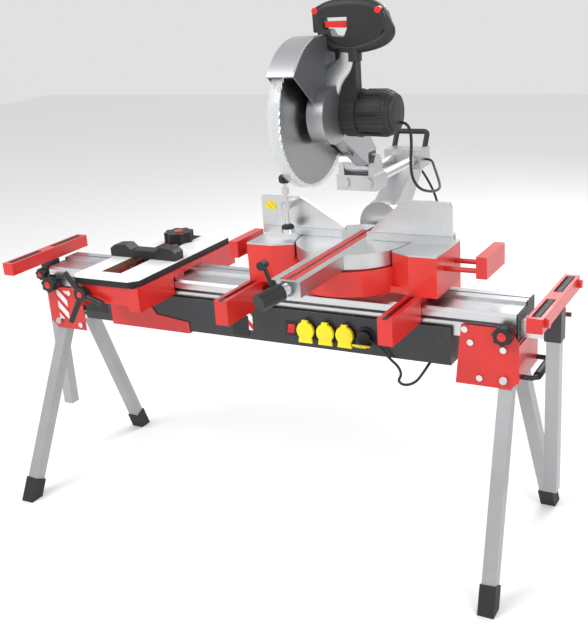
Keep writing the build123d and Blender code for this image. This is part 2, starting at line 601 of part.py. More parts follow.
OUTLINE = ((BOARD_LEFT + CORNER, ROUTER_FRONT), (BOARD_RIGHT - CORNER, ROUTER_FRONT),
           (BOARD_RIGHT, ROUTER_FRONT + CORNER), (BOARD_RIGHT, ROUTER_BACK - CORNER),
           (BOARD_RIGHT - CORNER, ROUTER_BACK), (BOARD_LEFT + CORNER, ROUTER_BACK),
           (BOARD_LEFT, ROUTER_BACK - CORNER), (BOARD_LEFT, ROUTER_FRONT + CORNER))
with BuildPart() as router_table:
    slab(Plane.XY.offset(MOUNT_TOP), OUTLINE, BOARD_TOP - MOUNT_TOP)
    slab(Plane.XY.offset(BOARD_TOP), OUTLINE, PLATE_TOP - BOARD_TOP)
    block(SLOT_LEFT, SLOT_RIGHT, SLOT_FRONT, SLOT_BACK, MOUNT_TOP - 1, PLATE_TOP + 1,
          Mode.SUBTRACT)
save(router_table, "router_table")

JAW_Y = -21.0
with BuildPart() as jaw_block:
    slab(plane_y(JAW_Y + 38),
         ((-466, PLATE_TOP + 0.4), (-253, PLATE_TOP + 0.4), (-253, 690), (-262, 698),
          (-300, 703), (-318, 690), (-398, 690), (-414, 703), (-452, 700), (-466, 690)), 38)
    rod((-365, JAW_Y + 19, 655), (-365, JAW_Y + 19, PLATE_TOP + 10), 7)
save(jaw_block, "jaw_block")

KNOB_Y = 160.0
with BuildPart() as router_knob:
    lobed_knob(((SLOT_LEFT + SLOT_RIGHT) / 2, KNOB_Y, PLATE_TOP + 0.4), (0, 0, 1), 42, 28, 0, 8)
    rod(((SLOT_LEFT + SLOT_RIGHT) / 2, KNOB_Y, 655),
        ((SLOT_LEFT + SLOT_RIGHT) / 2, KNOB_Y, PLATE_TOP + 1), 7)
save(router_knob, "router_knob")

with BuildPart() as clamp_lever:
    rod((HUB_X, ROUTER_FRONT + 8, HUB_Z), (HUB_X, HUB_Y, HUB_Z), 5)
    rod((HUB_X, HUB_Y - 18, HUB_Z), (HUB_X, HUB_Y, HUB_Z), 19)
    for tip_x, tip_z in ((-454, 681), (-455, 550), (-343, 608)):
        rod((HUB_X, HUB_Y - 9, HUB_Z), (tip_x, HUB_Y - 9, tip_z), 8)
save(clamp_lever, "clamp_lever")

# ---------------------------------------------------------------- saw base
SAW_X = 246.0
SAW_Y = 30.0
SAW_BARS = (13.0, 432.0)
SAW_BAR_FRONT = -222.0
SAW_BAR_BACK = 210.0
TABLE_Z = 750.0
PAD_TOP_LOW = 746.0
WELL_R = 143.0
DISC_R = 140.0
DECK_TOP = 688.0
DECK_LOW = 680.0
RING_TOP = 712.0
BASE_HALF = 246.0
TOWER = ((-246, -93), (-178, -93), (-128, -68), (-128, 40), (-146, 62), (-246, 62))
CENTRE_PIN_R = 11.5
WING_ROD_R = 6.0
WING_ROD_Z = 708.0
WING_ROD_YS = (-8.0, 58.0)

with BuildPart() as saw_bars:
    for bar_x in SAW_BARS:
        mounting_bar(bar_x, SAW_BAR_FRONT, SAW_BAR_BACK)
        clamp_pads(bar_x)
save(saw_bars, "saw_bars")


def tower_outline(side):
    """Plan of one side tower of the saw base."""
    return tuple((SAW_X - side * px, SAW_Y + py) for px, py in TOWER)


with BuildPart() as saw_base:
    block(SAW_X - BASE_HALF, SAW_X + BASE_HALF, SAW_Y - 80, SAW_Y + 62, MOUNT_TOP, MOUNT_TOP + 16)
    rod((SAW_X, SAW_Y, MOUNT_TOP), (SAW_X, SAW_Y, RING_TOP), 150)
    for side in (-1, 1):
        slab(Plane.XY.offset(MOUNT_TOP), tower_outline(side), PAD_TOP_LOW - MOUNT_TOP)
    rod((SAW_X, SAW_Y, DECK_TOP), (SAW_X, SAW_Y, RING_TOP), 130, Mode.SUBTRACT)
    rod((SAW_X, SAW_Y, RING_TOP), (SAW_X, SAW_Y, PAD_TOP_LOW + 1), WELL_R, Mode.SUBTRACT)
    rod((SAW_X, SAW_Y, MOUNT_TOP - 1), (SAW_X, SAW_Y, DECK_LOW), 128, Mode.SUBTRACT)
    rod((SAW_X, SAW_Y, DECK_LOW - 1), (SAW_X, SAW_Y, DECK_TOP + 1), CENTRE_PIN_R + TURN_GAP,
        Mode.SUBTRACT)
    for side in (-1, 1):
        block(SAW_X + side * 158, SAW_X + side * 238, SAW_Y - 54, SAW_Y + 54, MOUNT_TOP - 1,
              PAD_TOP_LOW - 8, Mode.SUBTRACT)
        for rod_y in WING_ROD_YS:
            rod((SAW_X + side * 230, rod_y, WING_ROD_Z), (SAW_X + side * 250, rod_y, WING_ROD_Z),
                WING_ROD_R + SLIDE_GAP, Mode.SUBTRACT)
save(saw_base, "saw_base")

FENCE_FACE = 32.0
FIXED_TOP = 770.0
GROOVE_Y = 47.5
FIXED_LEFT = ((-6, FENCE_FACE), (213, FENCE_FACE), (205, 42), (150, 60), (-6, 60))
FIXED_RIGHT = ((279, FENCE_FACE), (494, FENCE_FACE), (494, 60), (342, 60), (287, 42))
with BuildPart() as table_fence:
    for side in (-1, 1):
        slab(Plane.XY.offset(PAD_TOP_LOW), tower_outline(side), TABLE_Z - PAD_TOP_LOW)
    rod((SAW_X, SAW_Y, PAD_TOP_LOW - 1), (SAW_X, SAW_Y, TABLE_Z + 1), WELL_R, Mode.SUBTRACT)
    slab(Plane.XY.offset(TABLE_Z), FIXED_LEFT, FIXED_TOP - TABLE_Z)
    slab(Plane.XY.offset(TABLE_Z), FIXED_RIGHT, FIXED_TOP - TABLE_Z)
    block(95, 215, FENCE_FACE - 1, 61, TABLE_Z - 1, TABLE_Z + FACE_GAP, Mode.SUBTRACT)
    block(277, 397, FENCE_FACE - 1, 61, TABLE_Z - 1, TABLE_Z + FACE_GAP, Mode.SUBTRACT)
    for x0, x1 in ((-10, 180), (352, 500)):
        block(x0, x1, GROOVE_Y - 3, GROOVE_Y + 3, FIXED_TOP - 9, FIXED_TOP + 1, Mode.SUBTRACT)
save(table_fence, "table_and_fence")

FENCE_LOW = FIXED_TOP + 0.6
HOLD_X = 86.0
HOLD_Y = -5.0
HOLD_ROD_R = 5.0
with BuildPart() as fence_left:
    slab(plane_y(FENCE_FACE + 8),
         ((-6, FENCE_LOW), (222, FENCE_LOW), (222, 777), (130, 833), (104, 846), (-3, 846),
          (-6, 840)), 8)
    block(-6, 176, FENCE_FACE, 56, FENCE_LOW, FENCE_LOW + 6)
    block(0, 170, GROOVE_Y - 2.4, GROOVE_Y + 2.4, FIXED_TOP - 8, FENCE_LOW)
    block(HOLD_X - 10, HOLD_X + 10, HOLD_Y, FENCE_FACE, 826, 840)
    rod((HOLD_X, HOLD_Y, 826), (HOLD_X, HOLD_Y, 840), 13)
    rod((HOLD_X, HOLD_Y, 820), (HOLD_X, HOLD_Y, 850), HOLD_ROD_R + SLIDE_GAP, Mode.SUBTRACT)
save(fence_left, "fence_left")
with BuildPart() as fence_right:
    slab(plane_y(FENCE_FACE + 8),
         ((293, FENCE_LOW), (494, FENCE_LOW), (494, 840), (489, 851), (393, 851), (360, 837),
          (293, 778)), 8)
    block(362, 494, FENCE_FACE, 56, FENCE_LOW, FENCE_LOW + 6)
    block(366, 490, GROOVE_Y - 2.4, GROOVE_Y + 2.4, FIXED_TOP - 8, FENCE_LOW)
save(fence_right, "fence_right")
with BuildPart() as hold_down:
    rod((HOLD_X, HOLD_Y, 772), (HOLD_X, HOLD_Y, 900), HOLD_ROD_R)
    rod((HOLD_X, HOLD_Y, 766), (HOLD_X, HOLD_Y, 776), 16)
    rod((HOLD_X, HOLD_Y, 862), (HOLD_X, HOLD_Y, 876), 9)
save(hold_down, "hold_down")

for side, hand in ((-1, "left"), (1, "right")):
    inner = -43.0 if side < 0 else 575.0
    outer = -67.0 if side < 0 else 600.0
    tip = 40.0 if side < 0 else 449.0
    with BuildPart() as wing:
        block(inner, outer, -40, 90, 700, 742 if side < 0 else TABLE_Z)
        block(inner + side * 4, outer - side * 4, -36, 86, 699, 738 if side < 0 else 745,
              Mode.SUBTRACT)
        for rod_y in WING_ROD_YS:
            rod((tip, rod_y, WING_ROD_Z), (outer, rod_y, WING_ROD_Z), WING_ROD_R)
    save(wing, "wing_" + hand)

# ---------------------------------------------------------------- turntable and mitre arm
TABLE_LOW = 715.0
ARM_HALF = 37.0
ARM_FRONT = -315.0
KERF = 7.0
GRIP_AXIS = unit(-22, -55, -9)
GRIP_START = Vector(244, -330, 730)
GRIP_SHAFT_R = 6.0
DETENT_X = 218.0
DETENT_Z = 737.0
DETENT_PIN_R = 3.0
BEVEL_Z = 750.0
BOSS_FRONT = 184.0
BOSS_BACK = 202.0
BEVEL_PIN_R = 12.0

with BuildPart() as turntable:
    rod((SAW_X, SAW_Y, TABLE_LOW), (SAW_X, SAW_Y, TABLE_Z), DISC_R)
    block(SAW_X - ARM_HALF, SAW_X + ARM_HALF, ARM_FRONT, SAW_Y, TABLE_LOW, TABLE_Z)
    block(SAW_X - ARM_HALF + 8, SAW_X + ARM_HALF - 8, ARM_FRONT + 8, SAW_Y - 100, TABLE_LOW - 1,
          TABLE_Z - 12, Mode.SUBTRACT)
    rod((SAW_X, SAW_Y, TABLE_LOW - 1), (SAW_X, SAW_Y, TABLE_LOW + 20), 128, Mode.SUBTRACT)
    rod((SAW_X, SAW_Y, DECK_TOP + 0.3), (SAW_X, SAW_Y, TABLE_LOW + 21), 60)
    rod((SAW_X, SAW_Y, DECK_LOW), (SAW_X, SAW_Y, DECK_TOP + 1), CENTRE_PIN_R)
    block(SAW_X - 50, SAW_X + 50, 110, BOSS_BACK, TABLE_LOW, TABLE_Z - 8)
    rod((SAW_X, BOSS_FRONT, BEVEL_Z), (SAW_X, BOSS_BACK, BEVEL_Z), 55)
    rod((SAW_X, BOSS_FRONT - 1, BEVEL_Z), (SAW_X, BOSS_BACK + 1, BEVEL_Z),
        BEVEL_PIN_R + TURN_GAP, Mode.SUBTRACT)
    block(SAW_X - KERF / 2, SAW_X + KERF / 2, ARM_FRONT + 11, 150, TABLE_Z - 11, TABLE_Z + 1,
          Mode.SUBTRACT)
    rod(GRIP_START - GRIP_AXIS * 18, GRIP_START - GRIP_AXIS * 2, 13)
    rod(GRIP_START - GRIP_AXIS * 14, GRIP_START, GRIP_SHAFT_R + TURN_GAP, Mode.SUBTRACT)
    rod((DETENT_X, ARM_FRONT - 1, DETENT_Z), (DETENT_X, ARM_FRONT + 6, DETENT_Z),
        DETENT_PIN_R + TURN_GAP, Mode.SUBTRACT)
save(turntable, "turntable")

with BuildPart() as lock_grip:
    rod(GRIP_START - GRIP_AXIS * 13, GRIP_START + GRIP_AXIS * 4, GRIP_SHAFT_R)
    rod(GRIP_START, GRIP_START + GRIP_AXIS * 62, 19.5)
save(lock_grip, "lock_grip")
with BuildPart() as detent_lever:
    rod((DETENT_X, ARM_FRONT + 5, DETENT_Z), (DETENT_X, ARM_FRONT - 10, DETENT_Z), DETENT_PIN_R)
    rod((DETENT_X, ARM_FRONT - 6, DETENT_Z), (DETENT_X - 18, ARM_FRONT - 6, 784), 5)
    rod((DETENT_X - 18, ARM_FRONT - 18, 784), (DETENT_X - 18, ARM_FRONT + 2, 784), 10)
save(detent_lever, "detent_lever")

# ---------------------------------------------------------------- bevel arm
TUBE_R = 12.5
TUBE_XS = (216.0, 276.0)
TUBE_Z = 882.0
TUBE_FRONT = 52.0
HOUSING_FRONT = 340.0
HOUSING_BACK = 410.0
BEVEL_FACE = BOSS_BACK + FACE_GAP

with BuildPart() as bevel_arm:
    rod((SAW_X, BEVEL_FACE, BEVEL_Z), (SAW_X, 222, BEVEL_Z), 52)
    rod((SAW_X, BOSS_FRONT + 1, BEVEL_Z), (SAW_X, 222, BEVEL_Z), BEVEL_PIN_R)
    slab(plane_x(214),
         ((BEVEL_FACE, 706), (224, 706), (300, 760), (404, 848), (404, 900), (346, 900),
          (340, 862), (232, 800), (BEVEL_FACE, 798)), 64)
    block(196, 296, HOUSING_FRONT, HOUSING_BACK, 858, 908)
    for tube_x in TUBE_XS:
        rod((tube_x, HOUSING_FRONT - 20, TUBE_Z), (tube_x, HOUSING_BACK + 1, TUBE_Z),
            TUBE_R + SLIDE_GAP, Mode.SUBTRACT)
    bent_rod(((204, 388, 902), (204, 412, 944), (290, 412, 944), (290, 388, 902)), 9, 7)
save(bevel_arm, "bevel_arm")

# ---------------------------------------------------------------- slide carriage and tubes
CHOP_Y = 85.0
CHOP_Z = 925.0
CHOP_PIN_R = 8.0
BARREL_R = 25.0
with BuildPart() as slide_carriage:
    block(194, 298, 58, 122, 862, 899)
    for x0, x1 in ((200, 214), (278, 292)):
        block(x0, x1, 60, 112, 890, 930)
        rod((x0, CHOP_Y, CHOP_Z), (x1, CHOP_Y, CHOP_Z), 22)
    rod((206, CHOP_Y, CHOP_Z), (286, CHOP_Y, CHOP_Z), CHOP_PIN_R)
    for tube_x in TUBE_XS:
        rod((tube_x, TUBE_FRONT, TUBE_Z), (tube_x, HOUSING_BACK + 6, TUBE_Z), TUBE_R)
save(slide_carriage, "slide_carriage")

# ---------------------------------------------------------------- saw head
BLADE_R = 152.5
BLADE_Y = -140.0
BLADE_Z = 1073.0
BLADE_THICK = 3.0
GUARD_R = 165.0
GUARD_IN = 160.0
GUARD_LEFT = 214.0
GUARD_RIGHT = 278.0
ARBOR_R = 8.0
HUB_BOSS_R = 15.0
SHIELD_R = 157.0
CUT_ANGLE = 39.5         # chop travel, also the tilt of the guard mouth
MOTOR_Y = -80.0
MOTOR_Z = 1069.0
MOTOR_R = 48.0

MOUTH = Plane(origin=(SAW_X, BLADE_Y, BLADE_Z), x_dir=(1, 0, 0),
              z_dir=(0, sin(radians(CUT_ANGLE)), cos(radians(CUT_ANGLE))))
with BuildPart() as saw_head:
    rod((GUARD_LEFT, BLADE_Y, BLADE_Z), (GUARD_RIGHT, BLADE_Y, BLADE_Z), GUARD_R)
    rod((GUARD_LEFT + 3, BLADE_Y, BLADE_Z), (GUARD_RIGHT - 3, BLADE_Y, BLADE_Z), GUARD_IN,
        Mode.SUBTRACT)
    with Locations(MOUTH.offset(-200 - 10)):
        Box(200, 500, 400, mode=Mode.SUBTRACT)
    rod((262, BLADE_Y, BLADE_Z), (300, BLADE_Y, BLADE_Z), 62)
    slab(plane_x(254),
         ((98, 946), (98, 926), (44, 926), (-40, 980), (-110, 1025), (-90, 1120), (-10, 1080),
          (50, 1000)), 36)
    block(277.4, 296, 38, 120, 880, 958, Mode.SUBTRACT)
    rod((215, CHOP_Y, CHOP_Z), (277, CHOP_Y, CHOP_Z), BARREL_R)
    block(250, 277, 50, 110, 922, 952)
    rod((200, CHOP_Y, CHOP_Z), (292, CHOP_Y, CHOP_Z), CHOP_PIN_R + TURN_GAP, Mode.SUBTRACT)
    for x0, x1 in ((196, 214.6), (277.4, 296)):
        rod((x0, CHOP_Y, CHOP_Z), (x1, CHOP_Y, CHOP_Z), BARREL_R, Mode.SUBTRACT)
    rod((GUARD_LEFT + 1, BLADE_Y, BLADE_Z), (223, BLADE_Y, BLADE_Z), HUB_BOSS_R)
    rod((255, BLADE_Y, BLADE_Z), (290, BLADE_Y, BLADE_Z), ARBOR_R + TURN_GAP, Mode.SUBTRACT)
    rod((253, BLADE_Y, BLADE_Z), (262, BLADE_Y, BLADE_Z), 28, Mode.SUBTRACT)
save(saw_head, "saw_head")

with BuildPart() as blade:
    rod((SAW_X - BLADE_THICK / 2, BLADE_Y, BLADE_Z), (SAW_X + BLADE_THICK / 2, BLADE_Y, BLADE_Z),
        BLADE_R)
    rod((SAW_X - 6, BLADE_Y, BLADE_Z), (SAW_X + 6, BLADE_Y, BLADE_Z), 24)
    rod((233, BLADE_Y, BLADE_Z), (286, BLADE_Y, BLADE_Z), ARBOR_R)
save(blade, "saw_blade")

with BuildPart() as lower_guard:
    rod((219, BLADE_Y, BLADE_Z), (250, BLADE_Y, BLADE_Z), SHIELD_R)
    rod((221.5, BLADE_Y, BLADE_Z), (251, BLADE_Y, BLADE_Z), SHIELD_R - 2.6, Mode.SUBTRACT)
    with Locations(MOUTH.offset(200 + 8)):
        Box(200, 500, 400, mode=Mode.SUBTRACT)
    rod((218.4, BLADE_Y, BLADE_Z), (221.5, BLADE_Y, BLADE_Z), 32)
    rod((216, BLADE_Y, BLADE_Z), (226, BLADE_Y, BLADE_Z), HUB_BOSS_R + TURN_GAP, Mode.SUBTRACT)
save(lower_guard, "lower_guard")

# ---------------------------------------------------------------- motor and handle
HANDLE_Y = -105.0
HANDLE_HALF = 14.0
TRIGGER_X = 334.0
TRIGGER_Z = 1257.0
with BuildPart() as motor_unit:
    rod((300, MOTOR_Y, MOTOR_Z), (404, MOTOR_Y, MOTOR_Z), MOTOR_R)
    rod((404, MOTOR_Y, MOTOR_Z), (417, MOTOR_Y, MOTOR_Z), 40)
    block(300, 342, HANDLE_Y - HANDLE_HALF, HANDLE_Y + HANDLE_HALF, 1090, 1222)
    slab(plane_y(HANDLE_Y + HANDLE_HALF),
         ((248, 1243), (280, 1239), (280, 1208), (345, 1204), (398, 1228), (418, 1258), (410, 1280),
          (374, 1291), (262, 1297), (247, 1286)), 2 * HANDLE_HALF)
    slab(plane_y(HANDLE_Y + HANDLE_HALF + 1),
         ((272, 1248), (284, 1248), (292, 1234), (318, 1231), (327, 1250), (327, 1272),
          (268, 1272)),
         2 * HANDLE_HALF + 2, Mode.SUBTRACT)
    block(326, 343, HANDLE_Y - 8.4, HANDLE_Y + 8.4, 1249, 1266, Mode.SUBTRACT)
    rod((TRIGGER_X, HANDLE_Y - 13, TRIGGER_Z), (TRIGGER_X, HANDLE_Y + 13, TRIGGER_Z), 2)
save(motor_unit, "motor_unit")

with BuildPart() as trigger:
    slab(plane_y(HANDLE_Y + 8),
         ((273, 1252), (324, 1250), (334, 1252.4), (338.4, 1257), (334, 1261.4), (322, 1264),
          (273, 1264)), 16)
    rod((TRIGGER_X, HANDLE_Y - 9, TRIGGER_Z), (TRIGGER_X, HANDLE_Y + 9, TRIGGER_Z),
        2 + 0.25, Mode.SUBTRACT)
save(trigger, "trigger")

# ---------------------------------------------------------------- cords and plug
CORD_R = 3.25
PLUG_X = SOCKET_XS[3]
PLUG_OUT = Vector(20, 0, -8).normalized()
PLUG_EXIT = Vector(PLUG_X + 20, -74.2, 533)
GLAND = Vector(246, HOUSING_BACK, 870)


def cord(points, name):
    """A round cord of straight runs and tangent bends, with its radii printed."""
    path_points = [Vector(*p) for p in points]
    runs = [(b - a).length for a, b in zip(path_points, path_points[1:])]
    radii = []
    for before, after, first, second in zip(runs, runs[1:], zip(path_points, path_points[1:]),
                                            zip(path_points[1:], path_points[2:])):
        one = first[1] - first[0]
        two = second[1] - second[0]
        turn = radians(one.get_angle(two))
        radii.append(0.45 * min(before, after) / tan(turn / 2))
    with BuildPart() as run:
        with BuildLine() as line:
            FilletPolyline(*path_points, radius=radii)
        with BuildSketch(Plane(origin=path_points[0], z_dir=path_points[1] - path_points[0])):
            Circle(CORD_R)
        sweep(path=line.line)
    long = sum(edge.length for edge in line.edges())
    expected = pi * CORD_R ** 2 * long / 1000
    print(name, "length", round(long), "volume", round(run.part.volume / 1000, 1),
          "expected", round(expected, 1))
    print(name, "runs", [round(r) for r in runs], "radii", [round(r) for r in radii])
    return run


with BuildPart() as plug:
    rod((PLUG_X, PANEL_FRONT - 15, SOCKET_Z), (PLUG_X, PANEL_FRONT + 24, SOCKET_Z), 16.5)
    for pin in (-1, 1):
        rod((PLUG_X + pin * PIN_X, PANEL_FRONT + 23, SOCKET_Z),
            (PLUG_X + pin * PIN_X, PANEL_FRONT + SOCKET_DEEP - 3, SOCKET_Z), PIN_R - 0.3)
    rod(Vector(PLUG_X, -74.2, SOCKET_Z), PLUG_EXIT, 4.6)
save(plug, "mains_plug")

MAINS = (PLUG_EXIT, PLUG_EXIT + PLUG_OUT * 24, (372, -73, 497), (397, -75, 480), (409, -86, 464),
         (400, -90, 450), (414, -86, 438), (440, -80, 446), (456, -66, 470), (462, -36, 487),
         (464, 14, 488.7), (462, 64, 488.7), (459, 110, 492), (452, 160, 508), (436, 210, 535),
         (412, 260, 570), (384, 308, 615), (355, 352, 660), (328, 394, 710), (306, 428, 762),
         (276, 446, 806), (250, 442, 846), (GLAND.X, GLAND.Y + 14, GLAND.Z), GLAND)
save(cord(MAINS, "mains_cord"), "mains_cord")

MOTOR_CORD = ((417, -62, 1046), (430, -62, 1046), (438, -58, 1026), (436, -52, 992),
              (432, -52, 952), (430, -36, 916), (432, -2, 888), (434, 44, 872),
              (432, 92, 862), (424, 140, 856), (408, 188, 853), (388, 234, 853),
              (366, 280, 857), (344, 322, 864), (326, 356, 872), (312, 376, 878),
              (296, 376, 878))
save(cord(MOTOR_CORD, "motor_cord"), "motor_cord")
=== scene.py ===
"""Mitre saw on a folding stand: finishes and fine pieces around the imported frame."""
import math

import bmesh
import bpy
import numpy as np
from mathutils import Matrix, Vector


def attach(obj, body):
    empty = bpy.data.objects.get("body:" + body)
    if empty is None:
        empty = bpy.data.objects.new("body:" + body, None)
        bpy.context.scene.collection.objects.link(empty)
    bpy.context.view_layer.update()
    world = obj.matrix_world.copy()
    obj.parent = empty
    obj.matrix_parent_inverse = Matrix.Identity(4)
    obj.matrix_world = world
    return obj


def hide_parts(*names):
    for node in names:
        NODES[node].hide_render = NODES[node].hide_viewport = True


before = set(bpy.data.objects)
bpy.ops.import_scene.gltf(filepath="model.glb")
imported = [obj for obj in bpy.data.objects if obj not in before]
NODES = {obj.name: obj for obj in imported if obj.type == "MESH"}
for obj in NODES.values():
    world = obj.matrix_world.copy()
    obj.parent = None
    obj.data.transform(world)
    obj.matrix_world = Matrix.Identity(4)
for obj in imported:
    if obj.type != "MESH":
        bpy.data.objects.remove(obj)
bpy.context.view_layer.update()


# ---------------------------------------------------------------- shader maths
class Shade:
    """One socket of a finish; sums and products on it add Math nodes."""

    def __init__(self, tree, socket):
        self.tree = tree
        self.socket = socket

    def _math(self, operation, *values):
        node = self.tree.nodes.new("ShaderNodeMath")
        node.operation = operation
        for slot, value in zip(node.inputs, values):
            if isinstance(value, Shade):
                self.tree.links.new(value.socket, slot)
            else:
                slot.default_value = value
        return Shade(self.tree, node.outputs[0])

    def __add__(self, other):
        return self._math("ADD", self, other)

    def __sub__(self, other):
        return self._math("SUBTRACT", self, other)

    def __mul__(self, other):
        return self._math("MULTIPLY", self, other)

    def __rsub__(self, other):
        return self._math("SUBTRACT", other, self)

    __radd__ = __add__
    __rmul__ = __mul__

    def over(self, level):
        """1 where the value is above the level, else 0."""
        return self._math("GREATER_THAN", self, level)

    def under(self, level):
        """1 where the value is below the level, else 0."""
        return self._math("LESS_THAN", self, level)

    def between(self, low, high):
        """1 between two levels, else 0."""
        return self.over(low) * self.under(high)

    def size(self):
        """The value without its sign."""
        return self._math("ABSOLUTE", self)

    def root(self):
        """Square root."""
        return self._math("SQRT", self)

    def wave(self):
        """Sine of the value."""
        return self._math("SINE", self)

    def most(self, other):
        """The larger of two values."""
        return self._math("MAXIMUM", self, other)


class Finish:
    """A material with its object coordinates, noises and mixes at hand."""

    def __init__(self, name):
        self.material = bpy.data.materials.new(name)
        self.material.use_nodes = True
        self.tree = self.material.node_tree
        self.shader = self.tree.nodes["Principled BSDF"]
        coords = self.node("ShaderNodeTexCoord")
        self.place = coords.outputs["Object"]
        split = self.node("ShaderNodeSeparateXYZ", {}, {0: self.place})
        self.x, self.y, self.z = (Shade(self.tree, s) for s in split.outputs)
        geometry = self.node("ShaderNodeNewGeometry")
        turned = self.node("ShaderNodeSeparateXYZ", {}, {0: geometry.outputs["Normal"]})
        self.facing = [Shade(self.tree, s) for s in turned.outputs]

    def node(self, kind, settings=None, inputs=None):
        """One node: its settings first, then values or links of its sockets."""
        made = self.tree.nodes.new(kind)
        for key, value in (settings or {}).items():
            setattr(made, key, value)
        for key, value in (inputs or {}).items():
            if isinstance(value, Shade):
                value = value.socket
            if isinstance(value, bpy.types.NodeSocket):
                self.tree.links.new(value, made.inputs[key])
            else:
                made.inputs[key].default_value = value
        return made

    def noise(self, scale, detail=3.0, stretch=(1, 1, 1)):
        """Noise of the object's coordinates, stretched along chosen axes."""
        place = self.place
        if stretch != (1, 1, 1):
            place = self.node("ShaderNodeMapping", {}, {"Vector": place, "Scale": stretch}).outputs[0]
        made = self.node("ShaderNodeTexNoise", {}, {"Vector": place, "Scale": scale,
                                                    "Detail": detail})
        return Shade(self.tree, made.outputs[0])

    def mix(self, factor, first, second):
        """Colour between two colours or colour sockets."""
        made = self.node("ShaderNodeMix", {"data_type": "RGBA"}, {0: factor})
        for index, value in ((6, first), (7, second)):
            if isinstance(value, Shade):
                self.tree.links.new(value.socket, made.inputs[index])
            else:
                made.inputs[index].default_value = (*value, 1)
        return Shade(self.tree, made.outputs[2])

    def put(self, **values):
        """Feeds named sockets of the shader."""
        for key, value in values.items():
            slot = self.shader.inputs[key.replace("_", " ")]
            if isinstance(value, Shade):
                self.tree.links.new(value.socket, slot)
            else:
                slot.default_value = (*value, 1) if isinstance(value, tuple) else value

    def relief(self, height, strength, distance=0.001):
        """Bump from a height value."""
        bump = self.node("ShaderNodeBump", {}, {"Height": height, "Strength": strength,
                                                "Distance": distance})
        self.tree.links.new(bump.outputs[0], self.shader.inputs["Normal"])


def painted(name, colour, rough=0.34, grain=900, metal=0.0, coat=0.25, zone=None):
    """Sprayed paint: slow tone drift, faint dust, orange-peel relief."""
    finish = Finish(name)
    drift = finish.noise(9, 3)
    dust = finish.noise(160, 5).over(0.66) * 0.05
    dark = tuple(c * 0.82 for c in colour)
    tone = finish.mix(drift, dark, tuple(min(1, c * 1.12) for c in colour))
    tone = finish.mix(dust, tone, (0.45, 0.43, 0.42))
    roughness = rough + (drift - 0.5) * 0.16
    metallic = metal
    if zone:
        tone, roughness, metallic = zone(finish, tone, roughness, metal)
    finish.put(Base_Color=tone, Roughness=roughness, Metallic=metallic, Coat_Weight=coat)
    finish.relief(finish.noise(grain, 2), 0.10, 0.0006)
    return finish.material


def metal(name, colour, rough=0.34, stretch=(1, 1, 1), scale=400, relief=0.08, zone=None):
    """Metal with drawn or cast grain along the stretch and smudged gloss."""
    finish = Finish(name)
    grain = finish.noise(scale, 4, stretch)
    smudge = finish.noise(14, 4)
    tone = finish.mix(grain, tuple(c * 0.78 for c in colour), colour)
    tone = finish.mix(smudge * 0.22, tone, tuple(c * 0.62 for c in colour))
    roughness = rough + (grain - 0.5) * 0.14 + (smudge - 0.5) * 0.12
    metallic = 1.0
    if zone:
        tone, roughness, metallic = zone(finish, tone, roughness, 1.0)
    finish.put(Base_Color=tone, Roughness=roughness, Metallic=metallic)
    finish.relief(grain, relief, 0.0006)
    return finish.material


def moulded(name, colour, rough=0.48, grain=1400, relief=0.22, zone=None):
    """Moulded plastic or rubber with a spark-eroded grain and scuffs."""
    finish = Finish(name)
    fine = finish.noise(grain, 2)
    scuff = finish.noise(60, 6, (1, 1, 4)).over(0.64) * 0.12
    drift = finish.noise(12, 3)
    tone = finish.mix(drift, tuple(c * 0.8 for c in colour), tuple(min(1, c * 1.15) for c in colour))
    tone = finish.mix(scuff, tone, tuple(min(1, c * 1.6 + 0.04) for c in colour))
    roughness = rough + (drift - 0.5) * 0.14 + scuff
    metallic = 0.0
    if zone:
        tone, roughness, metallic = zone(finish, tone, roughness, 0.0)
    finish.put(Base_Color=tone, Roughness=roughness, Metallic=metallic)
    finish.relief(fine, relief, 0.0004)
    return finish.material


# ---------------------------------------------------------------- colours (linear light)
RED = (0.62, 0.016, 0.012)
BLACK = (0.010, 0.010, 0.011)
YELLOW = (0.90, 0.74, 0.010)
SILVER = (0.78, 0.79, 0.80)
LEG_GREY = (0.36, 0.37, 0.38)
WHITE = (0.86, 0.86, 0.85)


def support_zone(finish, tone, roughness, metallic):
    """Roller rail red, the post below it bare aluminium."""
    below = finish.z.under(0.6379)
    return (finish.mix(below, tone, (0.40, 0.41, 0.42)), roughness + below * 0.05, below * 0.9)


def arm_zone(finish, tone, roughness, metallic):
    """The post guide at the end of a pull-out arm is dark."""
    guide = finish.x.over(0.7252).most(finish.x.under(-0.6832))
    return (finish.mix(guide, tone, (0.03, 0.032, 0.035)), roughness + guide * 0.1,
            1.0 - guide * 0.9)


def board_zone(finish, tone, roughness, metallic):
    """White laminate on top, black edge, brown raw board in the slot."""
    edge = finish.facing[2].under(0.5)
    inner = finish.x.between(-0.3975, -0.3335) * finish.y.between(-0.1505, 0.2255)
    fibre = finish.noise(260, 5)
    brown = finish.mix(fibre, (0.10, 0.045, 0.02), (0.26, 0.13, 0.06))
    side = finish.mix(inner, (0.008, 0.008, 0.009), brown)
    return finish.mix(edge, tone, side), roughness + edge * 0.25, 0.0


def table_zone(finish, tone, roughness, metallic):
    """Red throat strip along the blade slot and the dark slot itself."""
    across = (finish.x - 0.246).size()
    top = finish.z.over(0.7495) * finish.y.between(-0.3045, 0.118)
    strip = across.under(0.018) * top
    line = across.between(0.0176, 0.0186) * top
    tone = finish.mix(strip, tone, RED)
    tone = finish.mix(line, tone, (0.01, 0.01, 0.01))
    return tone, roughness + strip * 0.1, 1.0 - strip


def tilt_zone(finish, tone, roughness, metallic):
    """The black carrying loop on top of the tilt arm's housing."""
    loop = finish.z.over(0.9085)
    return finish.mix(loop, tone, BLACK), roughness + loop * 0.15, 1.0 - loop


